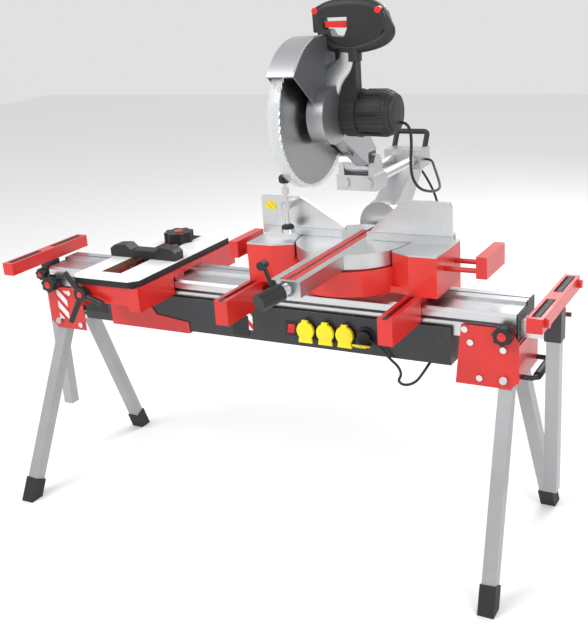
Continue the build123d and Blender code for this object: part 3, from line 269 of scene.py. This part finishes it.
def carriage_zone(finish, tone, roughness, metallic):
    """Ground slide tubes behind the cast carriage, with fine turning rings."""
    tubes = finish.y.over(0.1225)
    rings = (finish.y * 5200).wave() * 0.03
    return (finish.mix(tubes, tone, (0.64, 0.65, 0.67)),
            roughness + tubes * (rings - 0.16), 1.0)


def head_zone(finish, tone, roughness, metallic):
    """Dark painted outer cheek of the blade cover; gear case and arm stay cast."""
    cheek = finish.x.between(0.2745, 0.2785) * finish.facing[0].over(0.5)
    grain = finish.noise(700, 3)
    paint = finish.mix(grain, (0.060, 0.064, 0.070), (0.095, 0.100, 0.108))
    return (finish.mix(cheek, tone, paint), roughness + cheek * 0.1, 1.0 - cheek * 0.8)


def blade_zone(finish, tone, roughness, metallic):
    """Bright ground tips outside, a darker body with fine turning rings."""
    reach = ((finish.y + 0.140) * (finish.y + 0.140)
             + (finish.z - 1.073) * (finish.z - 1.073)).root()
    tips = reach.over(0.1475)
    ring = (reach * 2600).wave() * 0.05
    return (finish.mix(tips, tone, (0.85, 0.85, 0.84)), roughness + ring - tips * 0.08, 1.0)


def clear_plastic(name, colour):
    """See-through sheet: faint haze, fine scratches, glossy."""
    finish = Finish(name)
    haze = finish.noise(24, 3)
    scratch = finish.noise(420, 2, (1, 1, 6)).over(0.68) * 0.10
    finish.put(Base_Color=finish.mix(haze, tuple(c * 0.92 for c in colour), colour),
               Roughness=0.07 + scratch, Alpha=0.24 + haze * 0.12 + scratch,
               Coat_Weight=0.3 + haze * 0.4)
    finish.relief(finish.noise(60, 2), 0.05, 0.0004)
    return finish.material


def striped(name, paper, ink, count):
    """Plain printed label: paper with slanting ink bars over half of it, no lettering."""
    finish = Finish(name)
    bars = ((finish.x + finish.z) * count).wave().over(0.2)
    grain = finish.noise(300, 3)
    tone = finish.mix(bars, finish.mix(grain, paper, tuple(c * 0.9 for c in paper)), ink)
    finish.put(Base_Color=tone, Roughness=0.42 + grain * 0.12)
    finish.relief(grain, 0.05, 0.0003)
    return finish.material


def bar_slot_shade_zone(finish, tone, roughness, metallic):
    """Painted shade: a near-black band along the top of the mounting bars where the bolt slot lies.
    """
    # the band is painted shade for the slot, not a colour of the bars
    line = None
    for middle in (-0.436, -0.257, 0.013, 0.432):
        near = (finish.x - middle).size().under(0.0065)
        line = near if line is None else line.most(near)
    line = line * finish.z.over(0.6505)
    return finish.mix(line, tone, (0.006, 0.006, 0.007)), roughness + line * 0.3, 0.0


FINISHES = {
    "red": painted("sprayed_red", RED),
    # mounting bar red with a painted shade band along each bolt slot
    "bars": painted("bar_red_slot_shade", RED, zone=bar_slot_shade_zone),
    "cast_red": painted("cast_red", (0.66, 0.022, 0.014), rough=0.42, grain=500),
    "beam": metal("drawn_beam", (0.72, 0.73, 0.75), 0.30, (0.02, 1, 1), 500),
    "arm": metal("drawn_arm", SILVER, 0.32, (0.03, 1, 1), 500, zone=arm_zone),
    "support": painted("rail_and_post", RED, zone=support_zone),
    "panel": painted("panel_grey", (0.022, 0.024, 0.028), rough=0.40, coat=0.1),
    "leg": painted("leg_grey", LEG_GREY, rough=0.38, metal=0.35, coat=0.0),
    "black": moulded("black_moulding", BLACK),
    "rubber": moulded("foot_rubber", (0.012, 0.012, 0.013), 0.66, 700, 0.4),
    "roller": moulded("roller_sleeve", (0.02, 0.02, 0.022), 0.55, 500, 0.3),
    "yellow": moulded("yellow_lid", YELLOW, 0.30, 900, 0.10),
    "switch": moulded("red_switch", (0.70, 0.02, 0.02), 0.25, 900, 0.05),
    "board": moulded("router_board", WHITE, 0.36, 1200, 0.08, zone=board_zone),
    "cast": metal("bare_casting", (0.70, 0.71, 0.72), 0.42, (1, 1, 1), 260, 0.25),
    "fence": metal("milled_fence", (0.74, 0.75, 0.76), 0.34, (1, 1, 0.03), 600, 0.12),
    "table": metal("turned_table", (0.72, 0.73, 0.74), 0.33, (1, 1, 1), 500, 0.08, table_zone),
    "tilt": metal("tilt_arm_cast", (0.70, 0.71, 0.72), 0.40, (1, 1, 1), 260, 0.2, tilt_zone),
    "carriage": metal("carriage_cast", (0.70, 0.71, 0.72), 0.40, (1, 1, 1), 260, 0.2,
                      carriage_zone),
    "head": metal("head_cast", (0.60, 0.61, 0.63), 0.40, (1, 1, 1), 240, 0.2, head_zone),
    "grip": moulded("grip_rubber", (0.016, 0.017, 0.018), 0.58, 900, 0.3),
    # painted shade: a near-black finish for the motor's vent openings, standing in for the shade
    # inside them
    "vent_shade": moulded("painted_vent_darkness", (0.002, 0.002, 0.002), 0.8, 900, 0.1),
    "cord": moulded("cord_rubber", (0.009, 0.009, 0.010), 0.5, 900, 0.15),
    "blade": metal("ground_blade", (0.46, 0.46, 0.47), 0.30, (1, 1, 1), 300, 0.05, blade_zone),
    "clear": clear_plastic("clear_guard", (0.82, 0.85, 0.86)),
    "badge": striped("badge", WHITE, RED, 170),
    "caution": striped("caution_label", YELLOW, (0.7, 0.5, 0.01), 400),
    "bright": metal("plated_steel", (0.80, 0.80, 0.80), 0.20, (1, 1, 1), 700, 0.04),
}

CHOICES = {
    "beam": "beam", "socket_panel": "panel", "stand_fittings": "black", "stand_bolts": "bright",
    "end_bracket_right": "red", "end_bracket_left": "red", "angle_bracket": "red",
    "carry_handle": "black", "mains_plug": "black", "switch_rocker": "switch",
    "pull_arm_left": "arm", "pull_arm_right": "arm", "post_lock_right": "bright",
    "roller_support_left": "support", "roller_support_right": "support",
    "router_bars": "bars", "router_table": "board", "saw_bars": "bars", "saw_base": "cast_red",
    "table_and_fence": "cast", "fence_left": "fence", "fence_right": "fence",
    "hold_down": "bright", "wing_left": "red", "wing_right": "red", "turntable": "table",
    "bevel_arm": "tilt", "slide_carriage": "carriage", "saw_head": "head", "saw_blade": "bright",
    "trigger": "switch",
}
for name, obj in NODES.items():
    kind = CHOICES.get(name, "black")
    if name.startswith("leg_"):
        kind = "leg"
    if name.startswith("foot_"):
        kind = "rubber"
    if name.startswith("socket_lid"):
        kind = "yellow"
    if name.startswith("roller_left") or name.startswith("roller_right"):
        kind = "roller"
    obj.data.materials.clear()
    obj.data.materials.append(FINISHES[kind])


# ---------------------------------------------------------------- shaping helpers
CORD_WIDE = 0.0065
CRISP_ANGLE = math.radians(38)


def solid_grid(name, points, around, along, material, body, covers=(), smooth=True):
    """Object from points P(i, j), a (rows, columns, 3) array; loops close around and along."""
    rows, columns = points.shape[:2]
    index = np.arange(rows * columns).reshape(rows, columns)
    down = np.vstack([index, index[:1]]) if around else index
    grid = np.hstack([down, down[:, :1]]) if along else down
    quads = np.stack([grid[:-1, :-1], grid[:-1, 1:], grid[1:, 1:], grid[1:, :-1]], -1)
    faces = quads.reshape(-1, 4).tolist()
    if not around:
        faces += [index[0, ::-1].tolist(), index[-1].tolist()]
    mesh = bpy.data.meshes.new(name)
    mesh.from_pydata(points.reshape(-1, 3).tolist(), [], faces)
    volume = bmesh.new()
    volume.from_mesh(mesh)
    bmesh.ops.recalc_face_normals(volume, faces=volume.faces)
    volume.to_mesh(mesh)
    volume.free()
    mesh.shade_smooth() if smooth else mesh.shade_flat()
    mesh.materials.append(FINISHES[material])
    made = bpy.data.objects.new(name, mesh)
    bpy.context.scene.collection.objects.link(made)
    if smooth:
        sharp = made.modifiers.new("crisp_edges", "EDGE_SPLIT")
        sharp.split_angle = CRISP_ANGLE
    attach(made, body)
    if covers:
        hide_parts(*covers)
    return made


def across(direction):
    """Two unit vectors square to a direction and to each other."""
    axis = np.array(direction, float) / np.linalg.norm(direction)
    helper = np.array([0.0, 0, 1]) if abs(axis[2]) < 0.9 else np.array([1.0, 0, 0])
    first = np.cross(helper, axis)
    first /= np.linalg.norm(first)
    return axis, first, np.cross(axis, first)


def turned(name, centre, direction, profile, material, body, covers=(), lobes=0, depth=0.0,
           steps=72, comb=False):
    """P(i, j) = C + h_i A + r_i (1 + d s(n t_j)) (cos t_j U + sin t_j V), s sine or square."""
    axis, first, second = across(direction)
    profile = np.array(profile, float)
    angle = np.linspace(0, 2 * np.pi, steps, endpoint=False)
    ripple = np.cos(lobes * angle)
    if comb:
        ripple = np.sign(ripple)
    radius = profile[:, :1] * (1 + depth * ripple[None])
    ring = (radius[..., None] * (np.cos(angle)[:, None] * first + np.sin(angle)[:, None] * second))
    points = np.array(centre, float) + profile[:, 1, None, None] * axis + ring
    return solid_grid(name, points, False, True, material, body, covers)


def swept(name, path, wide, high, material, body, covers=(), steps=20, power=2.6, lift=(0, 1, 0)):
    """P(i, j) = path_i + a_i c(t_j) U_i + b_i s(t_j) V_i, rounded oblong section of power p."""
    path = np.array(path, float)
    tangent = np.gradient(path, axis=0)
    tangent /= np.linalg.norm(tangent, axis=1, keepdims=True)
    side = np.cross(tangent, np.broadcast_to(np.array(lift, float), path.shape))
    side /= np.linalg.norm(side, axis=1, keepdims=True)
    top = np.cross(side, tangent)
    angle = np.linspace(0, 2 * np.pi, steps, endpoint=False)
    cosine, sine = np.cos(angle), np.sin(angle)
    out = np.sign(cosine) * np.abs(cosine) ** (2 / power)
    up = np.sign(sine) * np.abs(sine) ** (2 / power)
    wide, high = (np.interp(np.linspace(0, 1, len(path)), np.linspace(0, 1, np.size(v)),
                            np.ravel(v)) for v in (wide, high))
    points = (path[:, None] + (wide[:, None] * out)[..., None] * side[:, None]
              + (high[:, None] * up)[..., None] * top[:, None])
    return solid_grid(name, points, False, True, material, body, covers)


def smooth_path(corners, steps=14, closed=False):
    """Quadratic curve through the middles of the runs between corner points."""
    corners = np.array(corners, float)
    if closed:
        corners = np.vstack([corners, corners[:2]])
    middles = (corners[:-1] + corners[1:]) / 2
    part = np.linspace(0, 1, steps, endpoint=False)[:, None]
    curve = [(1 - part) ** 2 * a + 2 * part * (1 - part) * b + part ** 2 * c
             for a, b, c in zip(middles[:-1], corners[1:-1], middles[1:])]
    if closed:
        return np.vstack(curve)
    return np.vstack([corners[:1], np.vstack(curve), middles[-1:], corners[-1:]])


def plate(name, outline, low, high, normal, material, body, covers=(), edge=0.0008):
    """Outline carried from low to high along the normal axis 0, 1 or 2, edges rounded."""
    outline = np.array(outline, float)
    rows = [np.insert(outline, normal, level, axis=1) for level in (low, high)]
    made = solid_grid(name, np.stack(rows), False, True, material, body, covers, smooth=False)
    if edge:
        rounded = made.modifiers.new("edge", "BEVEL")
        rounded.width = edge
        rounded.segments = 2
    return made


def real_cord(name, points):
    """A round cord drawn as a smooth curve guided by its control points."""
    curve = bpy.data.curves.new(name, "CURVE")
    curve.dimensions = "3D"
    curve.bevel_depth = CORD_WIDE / 2
    curve.bevel_resolution = 5
    curve.resolution_u = 8
    curve.use_fill_caps = True
    spline = curve.splines.new("NURBS")
    spline.points.add(len(points) - 1)
    spline.points.foreach_set("co", [v for p in points for v in (*[c / 1000 for c in p], 1)])
    spline.order_u = 3
    spline.use_endpoint_u = True
    curve.materials.append(FINISHES["cord"])
    made = bpy.data.objects.new(name, curve)
    bpy.context.scene.collection.objects.link(made)
    return made


# ---------------------------------------------------------------- saw head
BLADE = np.array((0.246, -0.140, 1.073))
BLADE_RADIUS = 0.1525
BLADE_HALF = 0.0013
TEETH = 60
TOOTH_STEPS = 8
TOOTH_DEEP = 0.0062
TOOTH_RISE = 0.75           # share of a tooth's pitch that rises to its tip
CUT = math.radians(39.5)


def blade_points():
    """P(i, j): rings i of radius R_i + tooth(t_j) on both faces, t_j round the blade."""
    steps = TEETH * TOOTH_STEPS
    angle = np.linspace(0, 2 * np.pi, steps, endpoint=False)
    ramp = (angle * TEETH / (2 * np.pi)) % 1.0
    tooth = -TOOTH_DEEP * np.where(ramp < TOOTH_RISE, (1 - ramp / TOOTH_RISE) ** 0.8,
                                   (ramp - TOOTH_RISE) / (1 - TOOTH_RISE))
    rings = [(0.012, -1, 0), (0.09, -1, 0), (0.144, -1, 0), (BLADE_RADIUS, -1, 1),
             (BLADE_RADIUS, 1, 1),
             (0.144, 1, 0), (0.09, 1, 0), (0.012, 1, 0)]
    rows = []
    for radius, side, toothed in rings:
        reach = radius + toothed * tooth
        rows.append(np.stack([np.full(steps, BLADE[0] + side * BLADE_HALF),
                              BLADE[1] + reach * np.cos(angle),
                              BLADE[2] + reach * np.sin(angle)], -1))
    return np.stack(rows)


solid_grid("toothed_blade", blade_points(), True, True, "blade", "blade", ("saw_blade",), False)
turned("blade_flange", BLADE, (1, 0, 0),
       [(0.001, -0.008), (0.011, -0.008), (0.013, -0.006), (0.024, -0.0055), (0.025, -0.002),
        (0.025, 0.004), (0.023, 0.006), (0.008, 0.0065), (0.008, 0.038), (0.001, 0.038)],
       "bright", "blade")


def guard_skin(name, radius, low, high, first, last, wall, material, body, covers=(), lip=0.0):
    """P(i, j): a shell of one side disc and one rim, section i, swept over the angles t_j."""
    angle = np.linspace(first, last, 90)
    section = [(0.030, low), (radius - 0.012, low), (radius - 0.003, low + 0.0015),
               (radius, low + 0.006), (radius, high), (radius + lip, high),
               (radius + lip, high + 0.002), (radius - wall, high + 0.002),
               (radius - wall, low + wall + 0.004), (radius - wall - 0.004, low + wall),
               (0.030, low + wall)]
    rows = [np.stack([np.full(angle.size, place), BLADE[1] + reach * np.cos(angle),
                      BLADE[2] + reach * np.sin(angle)], -1) for reach, place in section]
    points = np.stack(rows, 1)
    return solid_grid(name, points, False, True, material, body, covers)


guard_skin("clear_guard", 0.1568, 0.2190, 0.2475, math.pi - CUT + 0.06, 2 * math.pi - CUT - 0.06,
           0.0024, "clear", "guard", ("lower_guard",))
for number, reach in enumerate((0.120, 0.138, 0.1545)):
    arc = np.linspace(math.pi - CUT - 0.02, -CUT + 0.02, 60)
    swept("cover_rib_%d" % number,
          np.stack([np.full(60, 0.2135), BLADE[1] + reach * np.cos(arc),
                    BLADE[2] + reach * np.sin(arc)], -1),
          0.0016, 0.0014, "head", "head", lift=(1, 0, 0))
rim = np.linspace(math.pi - CUT, -CUT, 80)
swept("cover_rim", np.stack([np.full(80, 0.2765), BLADE[1] + 0.1650 * np.cos(rim),
                             BLADE[2] + 0.1650 * np.sin(rim)], -1),
      0.0022, 0.0022, "bright", "head", lift=(1, 0, 0))

MOTOR = np.array((0, -0.080, 1.069))
turned("motor_shell", MOTOR, (1, 0, 0),
       [(0.010, 0.300), (0.046, 0.300), (0.050, 0.304), (0.0505, 0.330), (0.0485, 0.338),
        (0.0490, 0.340), (0.0505, 0.395), (0.047, 0.404), (0.042, 0.413), (0.030, 0.418),
        (0.010, 0.418)], "black", "head", lobes=26, depth=0.012, steps=312, comb=True)
turned("motor_ring", MOTOR, (1, 0, 0),
       [(0.049, 0.3305), (0.0522, 0.332), (0.0522, 0.337), (0.049, 0.3385)], "black", "head")
# Near-black strips on the motor shell: painted shade standing in for the vent openings.
for number, turn_by in enumerate(np.linspace(0.3, 5.9, 7)):
    swept("motor_slot_%d" % number,
          np.stack([np.linspace(0.346, 0.390, 8),
                    np.full(8, MOTOR[1] + 0.0502 * math.cos(turn_by)),
                    np.full(8, MOTOR[2] + 0.0502 * math.sin(turn_by))], -1),
          0.0022, 0.0022, "vent_shade", "head")
swept("gear_neck", smooth_path([(0.272, -0.112, 1.118), (0.288, -0.108, 1.150),
                                (0.318, -0.106, 1.175), (0.321, -0.105, 1.200)]),
      (0.030, 0.020), 0.021, "cast", "head")
swept("neck_band", [(0.3205, -0.105, 1.182), (0.321, -0.105, 1.196), (0.321, -0.105, 1.210)],
      0.0285, 0.0205, "black", "head")
LOOP = smooth_path([(0.250, -0.105, 1.288), (0.316, -0.105, 1.298), (0.392, -0.105, 1.292),
                    (0.409, -0.105, 1.262), (0.420, -0.105, 1.232), (0.372, -0.105, 1.212),
                    (0.322, -0.105, 1.205), (0.282, -0.105, 1.214), (0.262, -0.105, 1.246)],
                   10, closed=True)
loop_turn = np.linspace(0, 2 * np.pi, len(LOOP), endpoint=False)
tangent = np.roll(LOOP, -1, 0) - np.roll(LOOP, 1, 0)
tangent /= np.linalg.norm(tangent, axis=1, keepdims=True)
inward = np.cross(tangent, (0, 1, 0))
section = np.linspace(0, 2 * np.pi, 18, endpoint=False)
swell = 0.0125 + 0.0018 * np.sin(3 * loop_turn)
points = (LOOP[:, None] + (swell[:, None] * np.cos(section))[..., None] * inward[:, None]
          + (0.0152 * np.sin(section))[None, :, None] * np.array((0, 1, 0)))
solid_grid("loop_handle", points, True, True, "grip", "head", ())
for number, (corner_x, corner_z) in enumerate(((0.2535, 1.2865), (0.398, 1.284))):
    turned("corner_mark_%d" % number, (corner_x, -0.105, corner_z), (0, 1, 0),
           [(0.003, -0.0162), (0.0070, -0.0155), (0.0082, 0), (0.0070, 0.0155),
            (0.003, 0.0162)], "switch", "head")
turned("clamp_knob", (0.086, -0.005, 0.0), (0, 0, 1),
       [(0.004, 0.889), (0.011, 0.889), (0.013, 0.894), (0.013, 0.904), (0.009, 0.909),
        (0.004, 0.909)], "black", "work_clamp", lobes=6, depth=0.12)
turned("clamp_foot", (0.086, -0.005, 0.0), (0, 0, 1),
       [(0.005, 0.767), (0.015, 0.767), (0.016, 0.771), (0.015, 0.783), (0.009, 0.787),
        (0.005, 0.787)], "black", "work_clamp")


# ---------------------------------------------------------------- knobs, lids, labels
def red_cap(name, centre, direction, radius, body):
    """Domed red cap of a hand knob."""
    turned(name, centre, direction,
           [(0.0006, -0.001), (radius, -0.001), (radius, 0.0008), (radius * 0.8, 0.0022),
            (0.0006, 0.003)], "switch", body)


red_cap("cap_right_lock", (0.647, -0.0845, 0.586), (0, -1, 0), 0.010, "right_arm_lock")
red_cap("cap_left_lock", (-0.656, -0.0845, 0.586), (0, -1, 0), 0.010, "left_arm_lock")
red_cap("cap_router", (-0.3655, 0.160, 0.697), (0, 0, 1), 0.012, "table_knob")
red_cap("cap_lever", (-0.407, -0.2335, 0.629), (0, -1, 0), 0.008, "clamp")
red_cap("cap_post", (-0.702, -0.0595, 0.605), (0, -1, 0), 0.007, "left_post_lock")
for number, place in enumerate((0.154, 0.208, 0.260)):
    turned("lid_dome_%d" % number, (place, -0.0735, 0.541), (0, -1, 0),
           [(0.001, 0), (0.0232, 0), (0.0238, 0.003), (0.0222, 0.0062), (0.0150, 0.0072),
            (0.0140, 0.0060), (0.001, 0.0064)], "yellow", "lid_%d" % (number + 1))
    for part, (half, base, top) in enumerate(((0.019, 0.5105, 0.527), (0.0085, 0.556, 0.569))):
        plate("lid_foot_%d_%d" % (number, part),
              [(place - half, base), (place + half, base), (place + half * 0.86, top),
               (place - half * 0.86, top)], -0.0795, -0.0738, 1, "yellow",
              "lid_%d" % (number + 1))
plate("panel_badge", [(-0.062, 0.520), (-0.002, 0.520), (-0.002, 0.566), (-0.062, 0.566)],
      -0.0652, -0.0641, 1, "badge", "stand", edge=0.0002)
plate("end_label", [(-0.646, 0.482), (-0.612, 0.482), (-0.612, 0.566), (-0.646, 0.566)],
      -0.0634, -0.0621, 1, "badge", "stand", edge=0.0002)
plate("fence_label", [(0.006, 0.812), (0.036, 0.812), (0.036, 0.832), (0.006, 0.832)],
      0.0312, 0.0319, 1, "caution", "left_fence", edge=0.0001)

# ---------------------------------------------------------------- cords
MAINS = [(246, 410, 870), (246, 424, 870), (250, 442, 846), (276, 446, 806), (306, 428, 762),
         (328, 394, 710), (355, 352, 660), (384, 308, 615), (412, 260, 570), (436, 210, 535),
         (452, 160, 508), (459, 110, 492), (462, 64, 488.7), (464, 14, 488.7), (462, -36, 487),
         (456, -66, 470), (440, -80, 446), (414, -86, 438), (400, -90, 450), (409, -86, 464),
         (397, -75, 480), (372, -73, 497), (353.3, -74.2, 524.1), (331, -74.2, 533)]
MOTOR_LINE = [(417, -62, 1046), (430, -62, 1046), (438, -58, 1026), (436, -52, 992),
              (432, -52, 952), (430, -36, 916), (432, -2, 888), (434, 44, 872),
              (432, 92, 862), (424, 140, 856), (408, 188, 853), (388, 234, 853),
              (366, 280, 857), (344, 322, 864), (326, 356, 872), (312, 376, 878),
              (296, 376, 878)]


mains = real_cord("mains_lead", MAINS)
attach(mains, "stand")
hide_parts("mains_cord")
lead = real_cord("motor_lead", MOTOR_LINE)
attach(lead, "tilt_arm")
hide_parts("motor_cord")


# ---------------------------------------------------------------- floor, light, camera
def floor_sheet():
    """A flat grid of the floor height, 16 m each way."""
    span = np.linspace(-8, 8, 9)
    xs, ys = np.meshgrid(span, span)
    points = np.stack([xs.ravel(), ys.ravel(), np.full(xs.size, -0.0006)], 1)
    index = np.arange(xs.size).reshape(xs.shape)
    faces = np.stack([index[:-1, :-1], index[:-1, 1:], index[1:, 1:], index[1:, :-1]], -1)
    mesh = bpy.data.meshes.new("floor")
    mesh.from_pydata(points.tolist(), [], faces.reshape(-1, 4).tolist())
    made = bpy.data.objects.new("floor", mesh)
    bpy.context.scene.collection.objects.link(made)
    plain = bpy.data.materials.new("pale_floor")
    plain.use_nodes = True
    plain.node_tree.nodes["Principled BSDF"].inputs["Base Color"].default_value = (0.9, 0.9, 0.9, 1)
    plain.node_tree.nodes["Principled BSDF"].inputs["Roughness"].default_value = 0.9
    mesh.materials.append(plain)


def studio_light(name, place, target, power, size):
    """A soft square light aimed at a point."""
    lamp = bpy.data.lights.new(name, "AREA")
    lamp.energy = power
    lamp.size = size
    made = bpy.data.objects.new(name, lamp)
    made.location = place
    aim = Vector(target) - Vector(place)
    made.rotation_euler = aim.to_track_quat("-Z", "Y").to_euler()
    bpy.context.scene.collection.objects.link(made)


floor_sheet()
scene = bpy.context.scene
world = bpy.data.worlds.new("studio")
scene.world = world
world.use_nodes = True
world.node_tree.nodes["Background"].inputs["Color"].default_value = (1, 1, 1, 1)
world.node_tree.nodes["Background"].inputs["Strength"].default_value = 0.75
studio_light("key", (-1.6, -2.6, 3.4), (0, 0, 0.7), 90, 2.2)
studio_light("fill", (3.0, -1.6, 2.2), (0.2, 0, 0.8), 40, 2.0)
studio_light("rim", (0.6, 2.8, 2.8), (0, 0, 0.8), 60, 2.0)
scene.view_settings.view_transform = "Standard"

CAMERA_PLACE = Vector((1.2683, -2.0610, 1.3800))
CAMERA_TURN = math.radians(29.937)
CAMERA_DIP = math.radians(19.449)
CAMERA_ROLL = math.radians(-4.144)
ahead = Vector((-math.sin(CAMERA_TURN) * math.cos(CAMERA_DIP),
                math.cos(CAMERA_TURN) * math.cos(CAMERA_DIP), -math.sin(CAMERA_DIP)))
level = Vector((math.cos(CAMERA_TURN), math.sin(CAMERA_TURN), 0))
rise = level.cross(ahead)
right = math.cos(CAMERA_ROLL) * level + math.sin(CAMERA_ROLL) * rise
upward = -math.sin(CAMERA_ROLL) * level + math.cos(CAMERA_ROLL) * rise
turn = Matrix((right, upward, -ahead)).transposed().to_4x4()
lens = bpy.data.cameras.new("camera")
lens.lens = 56.39
lens.sensor_width = 36.0
lens.clip_start = 0.05
camera = bpy.data.objects.new("camera", lens)
camera.matrix_world = Matrix.Translation(CAMERA_PLACE) @ turn
scene.collection.objects.link(camera)
scene.camera = camera
